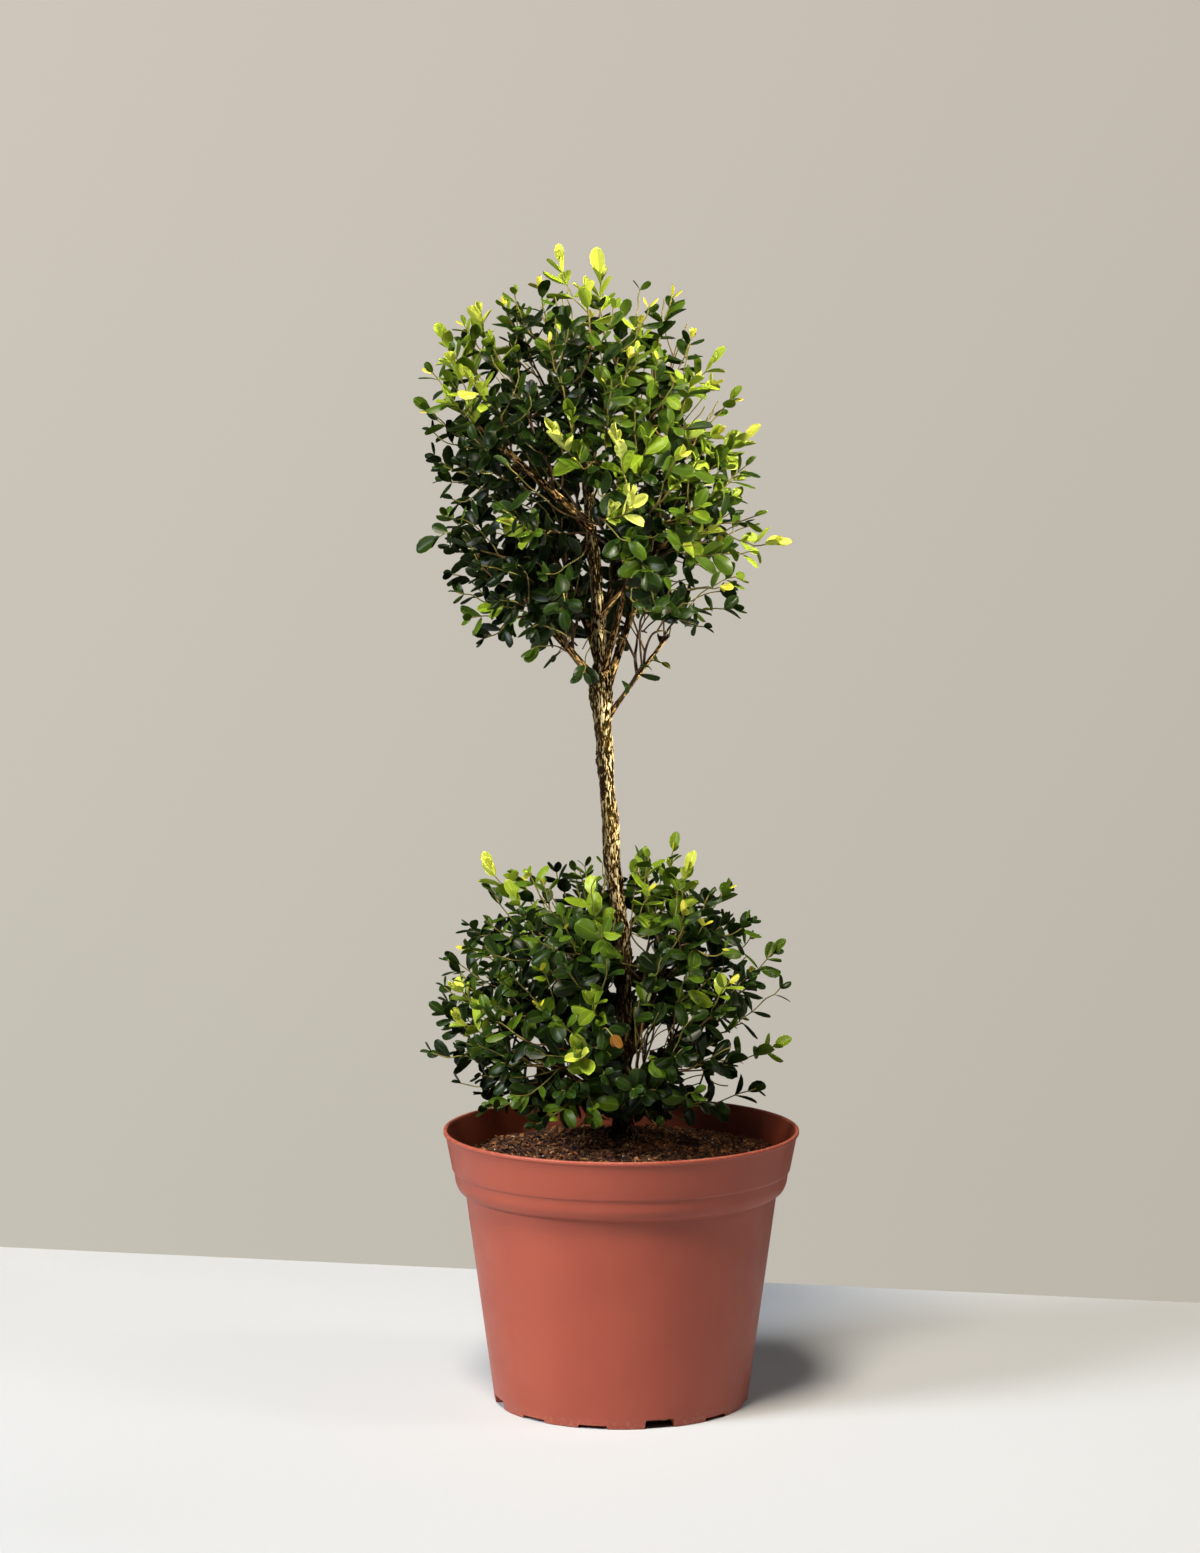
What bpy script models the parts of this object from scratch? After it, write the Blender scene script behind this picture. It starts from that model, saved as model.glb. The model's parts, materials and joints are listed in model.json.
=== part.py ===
"""A boxwood trained as two balls of leaves on one stem, growing in a plastic nursery pot.

Metres, +Z up. The origin is the middle of the pot's flat underside. The side that faces the viewer is -Y.
The sizes below are in millimetres, and MM turns them into Blender's metres.
"""

import math
import random

import bpy
from mathutils import Matrix, Vector, noise
from mathutils.bvhtree import BVHTree

MM = 0.001
CLEAR = 0.3  # gap between two pieces that touch on the real plant
ROUND = 36  # facets of the pot and the soil

# The pot: outside radii, heights and wall
POT_HEIGHT = 193.0
RIM_RADIUS = 125.0
FOOT_RADIUS = 89.3
WALL = 2.0
FOOT_WALL = 1.4
LIP_HEIGHT = 3.0
LIP_STEP = 1.5  # how far the lip stands out from the collar
LIP_BEVEL = 0.6
LIP_WALL = 2.6  # at the rim, and LIP_FOOT_WALL where the lip meets the collar
LIP_FOOT_WALL = 3.2
COLLAR_FOOT = 149.0  # height where the collar meets the plain wall
COLLAR_FOOT_RADIUS = 109.5
COLLAR_OUTSIDE = ((4.4, 1.8), (7.0, 7.0), (7.9, 15.5), (9.3, 16.5))  # out and up from the collar's foot
COLLAR_INSIDE = ((5.2, 7.0), (-1.9, 0.6))  # the same for the inside, from the top down
CENTRE_PAD_RADIUS = 68.0  # the flat middle of the floor, which the pot stands on
MOAT_RISE = 2.6  # the ring between the pad and the foot is raised by this
FOOT_INNER_RADIUS = 84.0
NOTCH_COUNT = 12
NOTCH_FIRST_ANGLE = 17.0  # degrees from the front, towards +X
NOTCH_WIDTH = 21.0
NOTCH_HEIGHT = 2.5
NOTCH_PAST = 5.0  # how far the block that cuts a notch runs past the wall on both sides
DRAIN_EVERY = 3  # each third notch is a drain that opens into the pot
DRAIN_HEIGHT = 6.4

# The soil
SOIL_EDGE_HEIGHT = 172.0
SOIL_MIDDLE_HEIGHT = 186.0
SOIL_SEAT_RADIUS = 18.0  # the flat patch that the trunk stands on
SOIL_LUMP = 2.4
LUMP_LENGTH = 23.0
DOME_POWER = 1.3  # above 1, the middle of the dome is flatter than a cone

# The trunk: height, lean towards +X and radius, from the ground to the tip of the leader
TRUNK_SIDES = 10
TRUNK_STATIONS = (
    (186.0, 2.0, 10.5),
    (190.0, 1.8, 8.6),
    (200.0, 1.4, 6.9),
    (240.0, 0.8, 6.0),
    (285.0, 2.0, 5.9),
    (320.0, 1.6, 5.8),
    (362.0, -4.4, 5.7),
    (400.0, -7.4, 6.0),
    (440.0, -10.2, 5.9),
    (475.0, -12.8, 6.4),
    (500.0, -14.2, 7.7),
    (511.0, -14.4, 7.2),
    (526.0, -14.6, 5.4),
    (565.0, -17.0, 4.8),
    (592.0, -19.0, 4.6),
    (620.0, -21.6, 4.3),
    (652.0, -23.4, 3.6),
    (684.0, -24.0, 2.6),
)
ROOT_LOBES = 5
ROOT_LOBE_DEPTH = 0.14
ROOT_LOBE_STATIONS = 3  # the lobes fade out over this many stations

# Boughs: the height where each leaves the trunk, its tip, how far its middle is pushed up and out (or down
# and in, where it is below nought), and its radii at its foot and tip
BOUGH_SIDES = 6
BOUGH_STEPS = 4
BOW_OUT = 1.6  # how much more a bow pushes out than up
BOUGHS = {
    "bough_high_left": (614, (-86, -22, 674), -4, 3.6, 2.3),
    "bough_low_left": (502, (-66, -26, 566), -4, 3.5, 2.2),
    "bough_front": (506, (10, -40, 612), 3, 2.8, 2.0),
    "bough_high_right": (496, (36, 16, 676), 9, 3.2, 2.0),
    "bough_right": (552, (36, -22, 612), -5, 2.6, 1.9),
    "bough_low_right": (477, (33, -10, 541), -3, 1.9, 1.5),
    "bough_back_left": (520, (-52, 42, 602), -8, 3.0, 2.0),
    "bough_back_right": (542, (8, 48, 612), -6, 2.8, 2.0),
    "low_bough_left": (203, (-52, -6, 244), -6, 2.8, 1.9),
    "low_bough_front_left": (213, (-30, -42, 240), -6, 2.8, 1.9),
    "low_bough_front_right": (201, (26, -42, 238), -6, 2.8, 1.9),
    "low_bough_right": (211, (48, -6, 254), -8, 3.0, 1.9),
    "low_bough_back_right": (208, (32, 42, 242), -6, 2.8, 1.9),
    "low_bough_back_left": (204, (-34, 42, 240), -6, 2.8, 1.9),
    "low_bough_inner_left": (226, (-26, -4, 292), -4, 2.6, 1.8),
    "low_bough_inner_right": (222, (26, 4, 294), -4, 2.6, 1.8),
}

# The two balls: the height of each level and how far the leaves reach left and right there, the ball's
# middle, and the leaf tips that stand furthest out of it
DEPTH_SHARE = 0.95  # depth of a ball as a share of its width
BALLS = {
    "crown": (
        (
            (520, -62, 38),
            (545, -98, 72),
            (580, -116, 92),
            (620, -122, 98),
            (660, -128, 94),
            (700, -127, 84),
            (740, -114, 68),
            (770, -90, 48),
            (792, -52, 14),
        ),
        (-19, 0, 655),
        (
            (-43, -6, 811),
            (-15, 2, 806),
            (-76, -4, 785),
            (37, 0, 783),
            (52, -10, 755),
            (-101, -4, 771),
            (-127, -14, 756),
            (-141, -16, 706),
            (-125, -20, 640),
            (-139, -22, 601),
            (-105, -20, 537),
            (-70, -34, 528),
            (-28, -46, 510),
            (36, -20, 517),
            (88, -12, 560),
            (117, -12, 609),
            (96, -4, 686),
            (82, -10, 713),
            (-16, -108, 650),
            (-58, 106, 640),
            (16, 104, 650),
        ),
    ),
    "low": (
        (
            (190, -70, 52),
            (205, -98, 78),
            (235, -120, 100),
            (270, -127, 108),
            (310, -122, 109),
            (345, -112, 96),
            (370, -88, 68),
            (385, -60, 44),
        ),
        (-8, 0, 285),
        (
            (39, -2, 403),
            (13, -8, 396),
            (-57, -10, 376),
            (-96, -8, 390),
            (-112, -4, 340),
            (-135, -6, 283),
            (-142, -12, 253),
            (-104, -14, 210),
            (-71, -80, 196),
            (76, -84, 214),
            (104, -14, 226),
            (119, -10, 259),
            (119, -6, 300),
            (115, 2, 327),
            (78, 2, 372),
            (-50, 108, 262),
            (42, 108, 268),
        ),
    ),
}

# Masses of leaves: the ball each belongs to, the limb it grows from and its middle
MASSES = {
    "crown_top": ("crown", "trunk", (-24, -2, 734)),
    "crown_high_left": ("crown", "bough_high_left", (-90, -8, 688)),
    "crown_low_left": ("crown", "bough_low_left", (-76, -16, 588)),
    "crown_front": ("crown", "bough_front", (-14, -64, 640)),
    "crown_high_right": ("crown", "bough_high_right", (42, 2, 706)),
    "crown_right": ("crown", "bough_right", (56, -6, 628)),
    "crown_low_right": ("crown", "bough_low_right", (36, -12, 556)),
    "crown_back_left": ("crown", "bough_back_left", (-58, 60, 620)),
    "crown_back_right": ("crown", "bough_back_right", (18, 62, 628)),
    "low_left": ("low", "low_bough_left", (-82, -6, 266)),
    "low_front_left": ("low", "low_bough_front_left", (-42, -66, 262)),
    "low_front_right": ("low", "low_bough_front_right", (32, -66, 262)),
    "low_right": ("low", "low_bough_right", (76, -4, 272)),
    "low_back_right": ("low", "low_bough_back_right", (36, 64, 266)),
    "low_back_left": ("low", "low_bough_back_left", (-42, 64, 266)),
    "low_top_left": ("low", "low_bough_inner_left", (-50, -2, 332)),
    "low_top_right": ("low", "low_bough_inner_right", (42, 2, 334)),
}

# The rule that every mass grows by
SHOOT_SPACING = 32.5  # least distance between two shoot tips
SHOOT_TRIES = 3000
INNER_SHARE = 0.2  # share of the shoots that end deep inside a ball
INNER_DEPTHS = (0.35, 0.6)
OUTER_INSETS = (31.0, 41.0)  # how far under a ball's surface the other shoots end
LEAD_SHARE = 0.45  # share of a shoot's length that already runs in its end direction
STEM_END = 0.35  # how far a mass's own stem runs from the bough's tip towards its middle
STEM_LEAD = 2.0  # the stem's first stretch, which runs on in line with the bough
ROUTES_TRIED = 6
CROWDING = 14.0  # cost, in mm of length, of each shoot that a joint carries already
TWIG_SIDES = 3
TWIG_STEPS = 2
STEM_RADIUS = 1.8
TWIG_ROOT_RADIUS = 0.5  # the root of a twig, which is sunk in the middle of its parent
TWIG_RADIUS = 1.3
TWIG_TIP_RADIUS = 1.0
RISE = 0.7  # how strongly shoots turn upwards
SIDEWAYS_COST = 0.8  # how much a shoot avoids leaving its parent at a right angle
LEAF_LENGTH = 34.0
LEAF_WIDTH = 23.0
LEAF_OUTLINE = ((0.54, 0.46), (1.0, 0.26))  # shares of its length, and of its width to one side there
LEAF_CUP = 0.08  # how far its edges stand above its middle, as a share of its width
LEAF_THICKNESS = 1.1
LEAF_SINK = 0.8  # how deep the tip leaf's root is sunk in the end of its twig
ROOT_SHARE = 0.3  # share of a leaf, next to the twig, that may touch what is round it
PAIR_PLACES = (0.84, 0.45)  # where the pairs sit along a shoot
PAIR_SPREAD = (48.0, 62.0)  # degrees that their leaves stand off the shoot
SPREAD_RANGE = 8.0  # degrees more or less than that
PAIR_GAP = 0.1  # how far each root of a pair stays from the twig's middle line
SPACE_OVERHANG = 5.0  # leaves may cross the middle plane to the next mass by this much
LEAF_ROLL = 55.0  # degrees that a leaf may turn about its own length, away from the light
LEAF_CLEAR = 0.5
SOIL_ROOM = 1.5  # least height of a leaf above the soil
RIM_ROOM = 2.0  # and above the rim, where it is less than RIM_BAND from it
RIM_BAND = 10.0
SEED = 47


def clear_scene():
    for thing in list(bpy.data.objects):
        bpy.data.objects.remove(thing)


def make_material(name, colour, roughness):
    made = bpy.data.materials.new(name)
    made.use_nodes = True
    shader = made.node_tree.nodes["Principled BSDF"]
    shader.inputs["Base Color"].default_value = (*colour, 1.0)
    shader.inputs["Roughness"].default_value = roughness
    return made


def make_object(name, points, faces, material=None):
    """A mesh object from points in millimetres."""
    mesh = bpy.data.meshes.new(name)
    mesh.from_pydata([Vector(p) * MM for p in points], [], faces)
    mesh.validate()
    made = bpy.data.objects.new(name, mesh)
    bpy.context.scene.collection.objects.link(made)
    if material is not None:
        mesh.materials.append(material)
    return made


def hide_helper(thing):
    thing.hide_render = True
    thing.display_type = "WIRE"


def shade(thing, angle):
    thing.data.shade_smooth()
    thing.data.set_sharp_from_angle(angle=math.radians(angle))


def cut_or_join(thing, operation, other=None, others=None):
    """Applies one Boolean to thing, with another object or with a collection of them."""
    modifier = thing.modifiers.new(operation.title(), "BOOLEAN")
    modifier.operation = operation
    modifier.solver = "EXACT"
    if others is None:
        modifier.object = other
    else:
        modifier.operand_type = "COLLECTION"
        modifier.collection = others
    graph = bpy.context.evaluated_depsgraph_get()
    result = bpy.data.meshes.new_from_object(thing.evaluated_get(graph))
    thing.modifiers.remove(modifier)
    old = thing.data
    thing.data = result
    bpy.data.meshes.remove(old)


# Outlines and tubes


def turned(profile):
    """Points and faces of a closed profile of (radius, height) turned about Z. It runs up the outside and
    down the inside, and a radius of nought is one point on the axis."""
    points, rings = [], []
    for radius, height in profile:
        if radius == 0:
            rings.append([len(points)] * ROUND)
            points.append((0, 0, height))
            continue
        rings.append(list(range(len(points), len(points) + ROUND)))
        for k in range(ROUND):
            angle = 2 * math.pi * k / ROUND
            points.append((radius * math.cos(angle), radius * math.sin(angle), height))
    faces = []
    for low, high in zip(rings, rings[1:] + rings[:1]):
        if low[0] == low[1] and high[0] == high[1]:
            continue
        for k in range(ROUND):
            n = (k + 1) % ROUND
            face = [low[k], low[n], high[n], high[k]]
            faces.append(list(dict.fromkeys(face)))
    return points, faces


def frames_along(points):
    """A pair of crosswise directions at each point of a path, turned as little as possible on the way."""
    ways = []
    for i in range(len(points)):
        ahead = points[min(i + 1, len(points) - 1)]
        behind = points[max(i - 1, 0)]
        ways.append((ahead - behind).normalized())
    side = ways[0].orthogonal().normalized()
    found = []
    for way in ways:
        side = (side - way * side.dot(way)).normalized()
        found.append((side, way.cross(side)))
    return found


def tube(points, radii, sides, swell=None):
    """Points and faces of a tapering tube with flat ends. swell(station, angle) scales the radius."""
    made, faces = [], []
    for i, (point, radius, (side, up)) in enumerate(zip(points, radii, frames_along(points))):
        for k in range(sides):
            angle = 2 * math.pi * k / sides
            reach = radius * (swell(i, angle) if swell else 1)
            made.append(point + reach * (math.cos(angle) * side + math.sin(angle) * up))
    for i in range(len(points) - 1):
        for k in range(sides):
            n = (k + 1) % sides
            low, high = i * sides, (i + 1) * sides
            faces.append((low + k, low + n, high + n, high + k))
    faces.append(tuple(reversed(range(sides))))
    faces.append(tuple(range(len(made) - sides, len(made))))
    return made, faces


def bend(start, control, end, steps):
    """Points of a curve from start to end that is pulled towards control."""
    found = []
    for i in range(steps + 1):
        t = i / steps
        found.append(start * (1 - t) ** 2 + control * (2 * t * (1 - t)) + end * t**2)
    return found


# The pot and its soil


def pot_profile():
    """The wall's section, from the middle of the underside round to the middle of the floor."""
    lip_foot = POT_HEIGHT - LIP_HEIGHT
    outside = [
        (0, 0),
        (CENTRE_PAD_RADIUS + WALL, 0),
        (CENTRE_PAD_RADIUS + 2 * WALL, MOAT_RISE),
        (FOOT_INNER_RADIUS, MOAT_RISE),
        (FOOT_INNER_RADIUS + 0.5, 0),
        (FOOT_RADIUS, 0),
        (COLLAR_FOOT_RADIUS, COLLAR_FOOT),
    ]
    outside += [(COLLAR_FOOT_RADIUS + out, COLLAR_FOOT + up) for out, up in COLLAR_OUTSIDE]
    outside.append((RIM_RADIUS - LIP_STEP, lip_foot))
    outside.append((RIM_RADIUS, lip_foot + LIP_BEVEL))
    outside.append((RIM_RADIUS, POT_HEIGHT))
    inside = [(RIM_RADIUS - LIP_WALL, POT_HEIGHT), (RIM_RADIUS - LIP_FOOT_WALL, lip_foot)]
    inside += [(COLLAR_FOOT_RADIUS + out, COLLAR_FOOT + up) for out, up in COLLAR_INSIDE]
    inside.append((FOOT_RADIUS - FOOT_WALL, MOAT_RISE + WALL))
    inside.append((CENTRE_PAD_RADIUS + 2 * WALL, MOAT_RISE + WALL))
    inside.append((CENTRE_PAD_RADIUS + WALL, WALL))
    inside.append((0, WALL))
    return outside, inside


def box_cutter(name, angle, height):
    """A block across the foot of the pot at an angle from the front, up to a height."""
    turn = Matrix.Rotation(math.radians(angle), 3, "Z")
    out_from, out_to = FOOT_INNER_RADIUS - NOTCH_PAST, FOOT_RADIUS + NOTCH_PAST
    points = []
    for z in (-WALL, height):
        for x, y in ((-1, out_from), (1, out_from), (1, out_to), (-1, out_to)):
            points.append(turn @ Vector((x * NOTCH_WIDTH / 2, -y, z)))
    faces = [(0, 1, 2, 3), (7, 6, 5, 4), (0, 4, 5, 1), (1, 5, 6, 2), (2, 6, 7, 3), (3, 7, 4, 0)]
    made = make_object(name, points, faces)
    hide_helper(made)
    return made


def make_pot(material):
    outside, inside = pot_profile()
    pot = make_object("pot", *turned(outside + inside), material)
    cutters = bpy.data.collections.new("notches")
    for k in range(NOTCH_COUNT):
        height = NOTCH_HEIGHT if k % DRAIN_EVERY else DRAIN_HEIGHT
        angle = NOTCH_FIRST_ANGLE + 360 / NOTCH_COUNT * k
        cutter = box_cutter(f"notch_{k}", angle, height)
        bpy.context.scene.collection.objects.unlink(cutter)
        cutters.objects.link(cutter)
    cut_or_join(pot, "DIFFERENCE", others=cutters)
    for cutter in list(cutters.objects):
        bpy.data.objects.remove(cutter)
    bpy.data.collections.remove(cutters)
    shade(pot, 35)
    return pot


def inner_radius(height, inside):
    """Inside radius of the pot at a height."""
    for (upper, z_up), (lower, z_low) in zip(inside, inside[1:]):
        if z_low <= height <= z_up and z_up > z_low:
            return lower + (upper - lower) * (height - z_low) / (z_up - z_low)
    return inside[0][0]


def soil_height(x, y):
    """Height of the soil's lumpy, slightly domed surface."""
    out = math.hypot(x, y)
    edge = inner_radius(SOIL_EDGE_HEIGHT, pot_profile()[1])
    share = max(0.0, (out - SOIL_SEAT_RADIUS) / (edge - SOIL_SEAT_RADIUS))
    dome = SOIL_MIDDLE_HEIGHT + (SOIL_EDGE_HEIGHT - SOIL_MIDDLE_HEIGHT) * share**DOME_POWER
    lump = noise.noise(Vector((x / LUMP_LENGTH, y / LUMP_LENGTH, 0.4))) * SOIL_LUMP
    return dome + lump * min(1.0, share * 4)


def make_soil(material):
    _, inside = pot_profile()
    edge = inner_radius(SOIL_EDGE_HEIGHT - SOIL_LUMP, inside) - CLEAR
    profile = [(0, WALL + CLEAR), (CENTRE_PAD_RADIUS + WALL - CLEAR, WALL + CLEAR)]
    profile.append((CENTRE_PAD_RADIUS + 2 * WALL - CLEAR, MOAT_RISE + WALL + CLEAR))
    profile.append((FOOT_RADIUS - FOOT_WALL - 2 * CLEAR, MOAT_RISE + WALL + CLEAR))
    for out, up in reversed(COLLAR_INSIDE):
        profile.append((COLLAR_FOOT_RADIUS + out - 1.3 * CLEAR, COLLAR_FOOT + up + CLEAR))
    skin = len(profile)
    for share in (1.0, 0.72, 0.42, SOIL_SEAT_RADIUS / edge):
        profile.append((edge * share, SOIL_EDGE_HEIGHT))
    profile.append((0, SOIL_MIDDLE_HEIGHT))
    points, faces = turned(profile)
    first_top = 1 + ROUND * (skin - 1)
    for i in range(first_top, len(points)):
        x, y, _ = points[i]
        points[i] = (x, y, soil_height(x, y))
    soil = make_object("soil", points, faces, material)
    shade(soil, 60)
    return soil


# The trunk and boughs


def trunk_path():
    return [Vector((x, 0, z)) for z, x, _ in TRUNK_STATIONS]


def trunk_point(height):
    """A point on the trunk's middle line."""
    for (z0, x0, _), (z1, x1, _) in zip(TRUNK_STATIONS, TRUNK_STATIONS[1:]):
        if z0 <= height <= z1:
            return Vector((x0 + (x1 - x0) * (height - z0) / (z1 - z0), 0, height))
    return trunk_path()[-1]


def root_swell(station, angle):
    """Lobes where the roots leave the foot of the trunk, which fade out above the soil."""
    fade = max(0.0, 1 - station / ROOT_LOBE_STATIONS)
    return 1 + ROOT_LOBE_DEPTH * fade * math.cos(ROOT_LOBES * angle)


def make_trunk(material):
    path = trunk_path()
    path[0] = path[0] + Vector((0, 0, CLEAR))
    radii = [r for _, _, r in TRUNK_STATIONS]
    points, faces = tube(path, radii, TRUNK_SIDES, root_swell)
    for i in range(TRUNK_SIDES):
        points[i].z = path[0].z
    trunk = make_object("trunk", points, faces, material)
    shade(trunk, 60)
    return trunk


def trunk_cutter():
    """The trunk, fatter by the gap that a bough keeps to it. The gap is half as wide again here, because the
    flats between its corners lie deeper."""
    radii = [r + 1.5 * CLEAR for _, _, r in TRUNK_STATIONS]
    points, faces = tube(trunk_path(), radii, TRUNK_SIDES, root_swell)
    made = make_object("trunk_cutter", points, faces)
    hide_helper(made)
    return made


def bough_path(name):
    """A bough's middle line, from inside the trunk to its tip."""
    height, tip, bow, _, _ = BOUGHS[name]
    start, end = trunk_point(height), Vector(tip)
    out = Vector((end.x - start.x, end.y - start.y, 0)).normalized()
    middle = (start + end) / 2
    control = middle + out * bow * BOW_OUT + Vector((0, 0, bow))
    return bend(start, control, end, BOUGH_STEPS)


def make_bough(name, cutter, material):
    _, _, _, foot_radius, tip_radius = BOUGHS[name]
    path = bough_path(name)
    radii = []
    for i in range(len(path)):
        radii.append(foot_radius + (tip_radius - foot_radius) * i / (len(path) - 1))
    bough = make_object(name, *tube(path, radii, BOUGH_SIDES), material)
    cut_or_join(bough, "DIFFERENCE", other=cutter)
    shade(bough, 60)
    return bough


# Leaves, shoots and masses


def leaf(base, along, face_up, grow=0.0, skip=0.0):
    """Points and faces of one cupped leaf. grow makes it larger all round, to test the room round it, and
    skip leaves out its root, which is sunk in the twig."""
    left = face_up.cross(along).normalized()
    up = along.cross(left).normalized()
    points = [base + along * (skip * LEAF_LENGTH)]
    for side in (-1, 1):
        for share, half in LEAF_OUTLINE[::-side]:
            out = left * side * (half * LEAF_WIDTH + grow)
            lift = up * (LEAF_CUP * LEAF_WIDTH * half * 2)
            points.append(base + along * (share * LEAF_LENGTH) + out + lift)
    middle = base + along * (LEAF_OUTLINE[0][0] * LEAF_LENGTH)
    points.append(middle + up * (LEAF_THICKNESS / 2 + grow))
    points.append(middle - up * (LEAF_THICKNESS / 2 + grow))
    rim = len(points) - 2
    faces = []
    for i in range(rim):
        n = (i + 1) % rim
        faces.append((i, n, rim))
        faces.append((n, i, rim + 1))
    return points, faces


def level_of(ball, height):
    """Middle and half-width of a ball at a height, or None above and below it."""
    stations = BALLS[ball][0]
    for (z0, left0, right0), (z1, left1, right1) in zip(stations, stations[1:]):
        if z0 <= height <= z1:
            t = (height - z0) / (z1 - z0)
            left, right = left0 + (left1 - left0) * t, right0 + (right1 - right0) * t
            return (left + right) / 2, (right - left) / 2
    return None


def in_ball(ball, point):
    level = level_of(ball, point.z)
    if level is None:
        return False
    middle, half = level
    return ((point.x - middle) / half) ** 2 + (point.y / (half * DEPTH_SHARE)) ** 2 <= 1


def surface_distance(ball, way):
    """Distance from a ball's middle to its surface in one direction."""
    middle = Vector(BALLS[ball][1])
    near, far = 0.0, 300.0
    while far - near > 1:
        probe = (near + far) / 2
        if in_ball(ball, middle + way * probe):
            near = probe
        else:
            far = probe
    return near


def mass_of(ball, point):
    """The mass whose space a point of a ball lies in, which is the one with the nearest middle."""
    own = [name for name in MASSES if MASSES[name][0] == ball]
    return min(own, key=lambda name: (point - Vector(MASSES[name][2])).length)


def room_to_next(point, mass):
    """Distance from a point to the plane half-way between its mass and the nearest other mass."""
    middle = Vector(MASSES[mass][2])
    least = math.inf
    for other in MASSES:
        if other == mass:
            continue
        apart = Vector(MASSES[other][2]) - middle
        towards = (point - middle).dot(apart.normalized())
        least = min(least, apart.length / 2 - towards)
    return least


def in_pot(point):
    """True where a leaf would touch the soil or the pot's rim."""
    if point.z < soil_height(point.x, point.y) + SOIL_ROOM:
        return True
    return point.z < POT_HEIGHT + RIM_ROOM and math.hypot(point.x, point.y) > RIM_RADIUS - RIM_BAND


def out_of_bounds(points, mass, overhang):
    return any(in_pot(p) or room_to_next(p, mass) < -overhang for p in points)


def shoot_ends(ball):
    """Where the shoots of a ball end and which way they point there, by mass. Those that carry the named
    leaf tips come first, then others spread evenly."""
    _, middle, reaches = BALLS[ball]
    middle = Vector(middle)
    dice = random.Random(f"{SEED} {ball}")
    ends = {name: [] for name in MASSES if MASSES[name][0] == ball}
    taken = []
    for reach in reaches:
        mass = mass_of(ball, Vector(reach))
        way = end_direction(Vector(reach), middle)
        tip = Vector(reach) - way * LEAF_LENGTH
        ends[mass].append((tip, way))
        taken.append(tip)
    for _ in range(SHOOT_TRIES):
        way = Vector([dice.gauss(0, 1) for _ in range(3)]).normalized()
        surface = surface_distance(ball, way)
        if dice.random() < INNER_SHARE:
            tip = middle + way * surface * dice.uniform(*INNER_DEPTHS)
        else:
            tip = middle + way * (surface - dice.uniform(*OUTER_INSETS))
        if in_pot(tip - Vector((0, 0, LEAF_WIDTH / 2))):
            continue
        if all((tip - other).length > SHOOT_SPACING for other in taken):
            ends[mass_of(ball, tip)].append((tip, end_direction(tip, middle)))
            taken.append(tip)
    return ends


def end_direction(point, middle):
    """The way a shoot points where it ends: outwards and a little up."""
    return ((point - middle).normalized() + Vector((0, 0, RISE))).normalized()


def shoot_path(place, tip, way):
    """A shoot from a joint to its tip, which it meets along way."""
    return bend(place, tip - way * (tip - place).length * LEAD_SHARE, tip, TWIG_STEPS)


def surface_tree(shapes):
    points, faces = [], []
    for shape_points, shape_faces in shapes:
        faces += [tuple(i + len(points) for i in face) for face in shape_faces]
        points += shape_points
    return BVHTree.FromPolygons(points, faces)


def meets(shape, tree):
    return bool(BVHTree.FromPolygons(*shape).overlap(tree))


def route_cost(lines, joint, tip):
    """What a shoot to tip would cost from a joint: its length, its turn and the shoots already there."""
    own, i, carried = joint
    run = tip - lines[own][i]
    turn = 1 - (lines[own][i] - lines[own][i - 1]).normalized().dot(run.normalized())
    return run.length * (1 + SIDEWAYS_COST * turn) + carried * CROWDING


def grow_twigs(mass, ends, obstacles):
    """The stem and twigs of a mass, as (path, radii, end direction), stem first. A twig that others carry on
    from has no end direction, and no leaf at its end."""
    _, parent, middle = MASSES[mass]
    line = trunk_path() if parent == "trunk" else bough_path(parent)
    onward = (line[-1] - line[-2]).normalized()
    foot = line[-1] + onward * CLEAR
    start = foot + onward * STEM_LEAD
    heart = foot.lerp(Vector(middle), STEM_END)
    lines = [[foot] + bend(start, start + onward * (heart - start).length / 2, heart, TWIG_STEPS)]
    ways = [None]
    joints = [[0, i, 0] for i in range(2, len(lines[0]))]
    radii = [TWIG_ROOT_RADIUS, TWIG_RADIUS, TWIG_TIP_RADIUS]
    fat = [r + LEAF_CLEAR for r in radii]
    for tip, way in sorted(ends, key=lambda shoot: (shoot[0] - foot).length):
        joints.sort(key=lambda joint: route_cost(lines, joint, tip))
        for joint in joints[:ROUTES_TRIED]:
            path = shoot_path(lines[joint[0]][joint[1]], tip, way)
            if out_of_bounds(path, mass, SPACE_OVERHANG) or meets(tube(path, fat, TWIG_SIDES), obstacles):
                continue
            joint[2] += 1
            joints += [[len(lines), i, 0] for i in range(1, TWIG_STEPS + 1)]
            lines.append(path)
            ways.append(way)
            break
    for own, i, carried in joints:
        if i == len(lines[own]) - 1 and carried:
            ways[own] = None
    stem_radii = [STEM_RADIUS] * (len(lines[0]) - 1) + [TWIG_RADIUS]
    return [(lines[0], stem_radii, None)] + [(lines[i], radii, ways[i]) for i in range(1, len(lines))]


def along_path(path, share):
    """A point on a path and the way it runs there."""
    at = share * (len(path) - 1)
    i = min(int(at), len(path) - 2)
    return path[i].lerp(path[i + 1], at - i), (path[i + 1] - path[i]).normalized()


def face_up(along, outward, dice):
    """The way a leaf's upper side faces: to the light above and outside, rolled about its length."""
    light = Vector((0, 0, 1)) + outward
    up = light - along * light.dot(along)
    if up.length < 0.2:
        up = along.orthogonal()
    roll = math.radians(dice.uniform(-LEAF_ROLL, LEAF_ROLL))
    return Matrix.Rotation(roll, 3, along) @ up.normalized()


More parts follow.
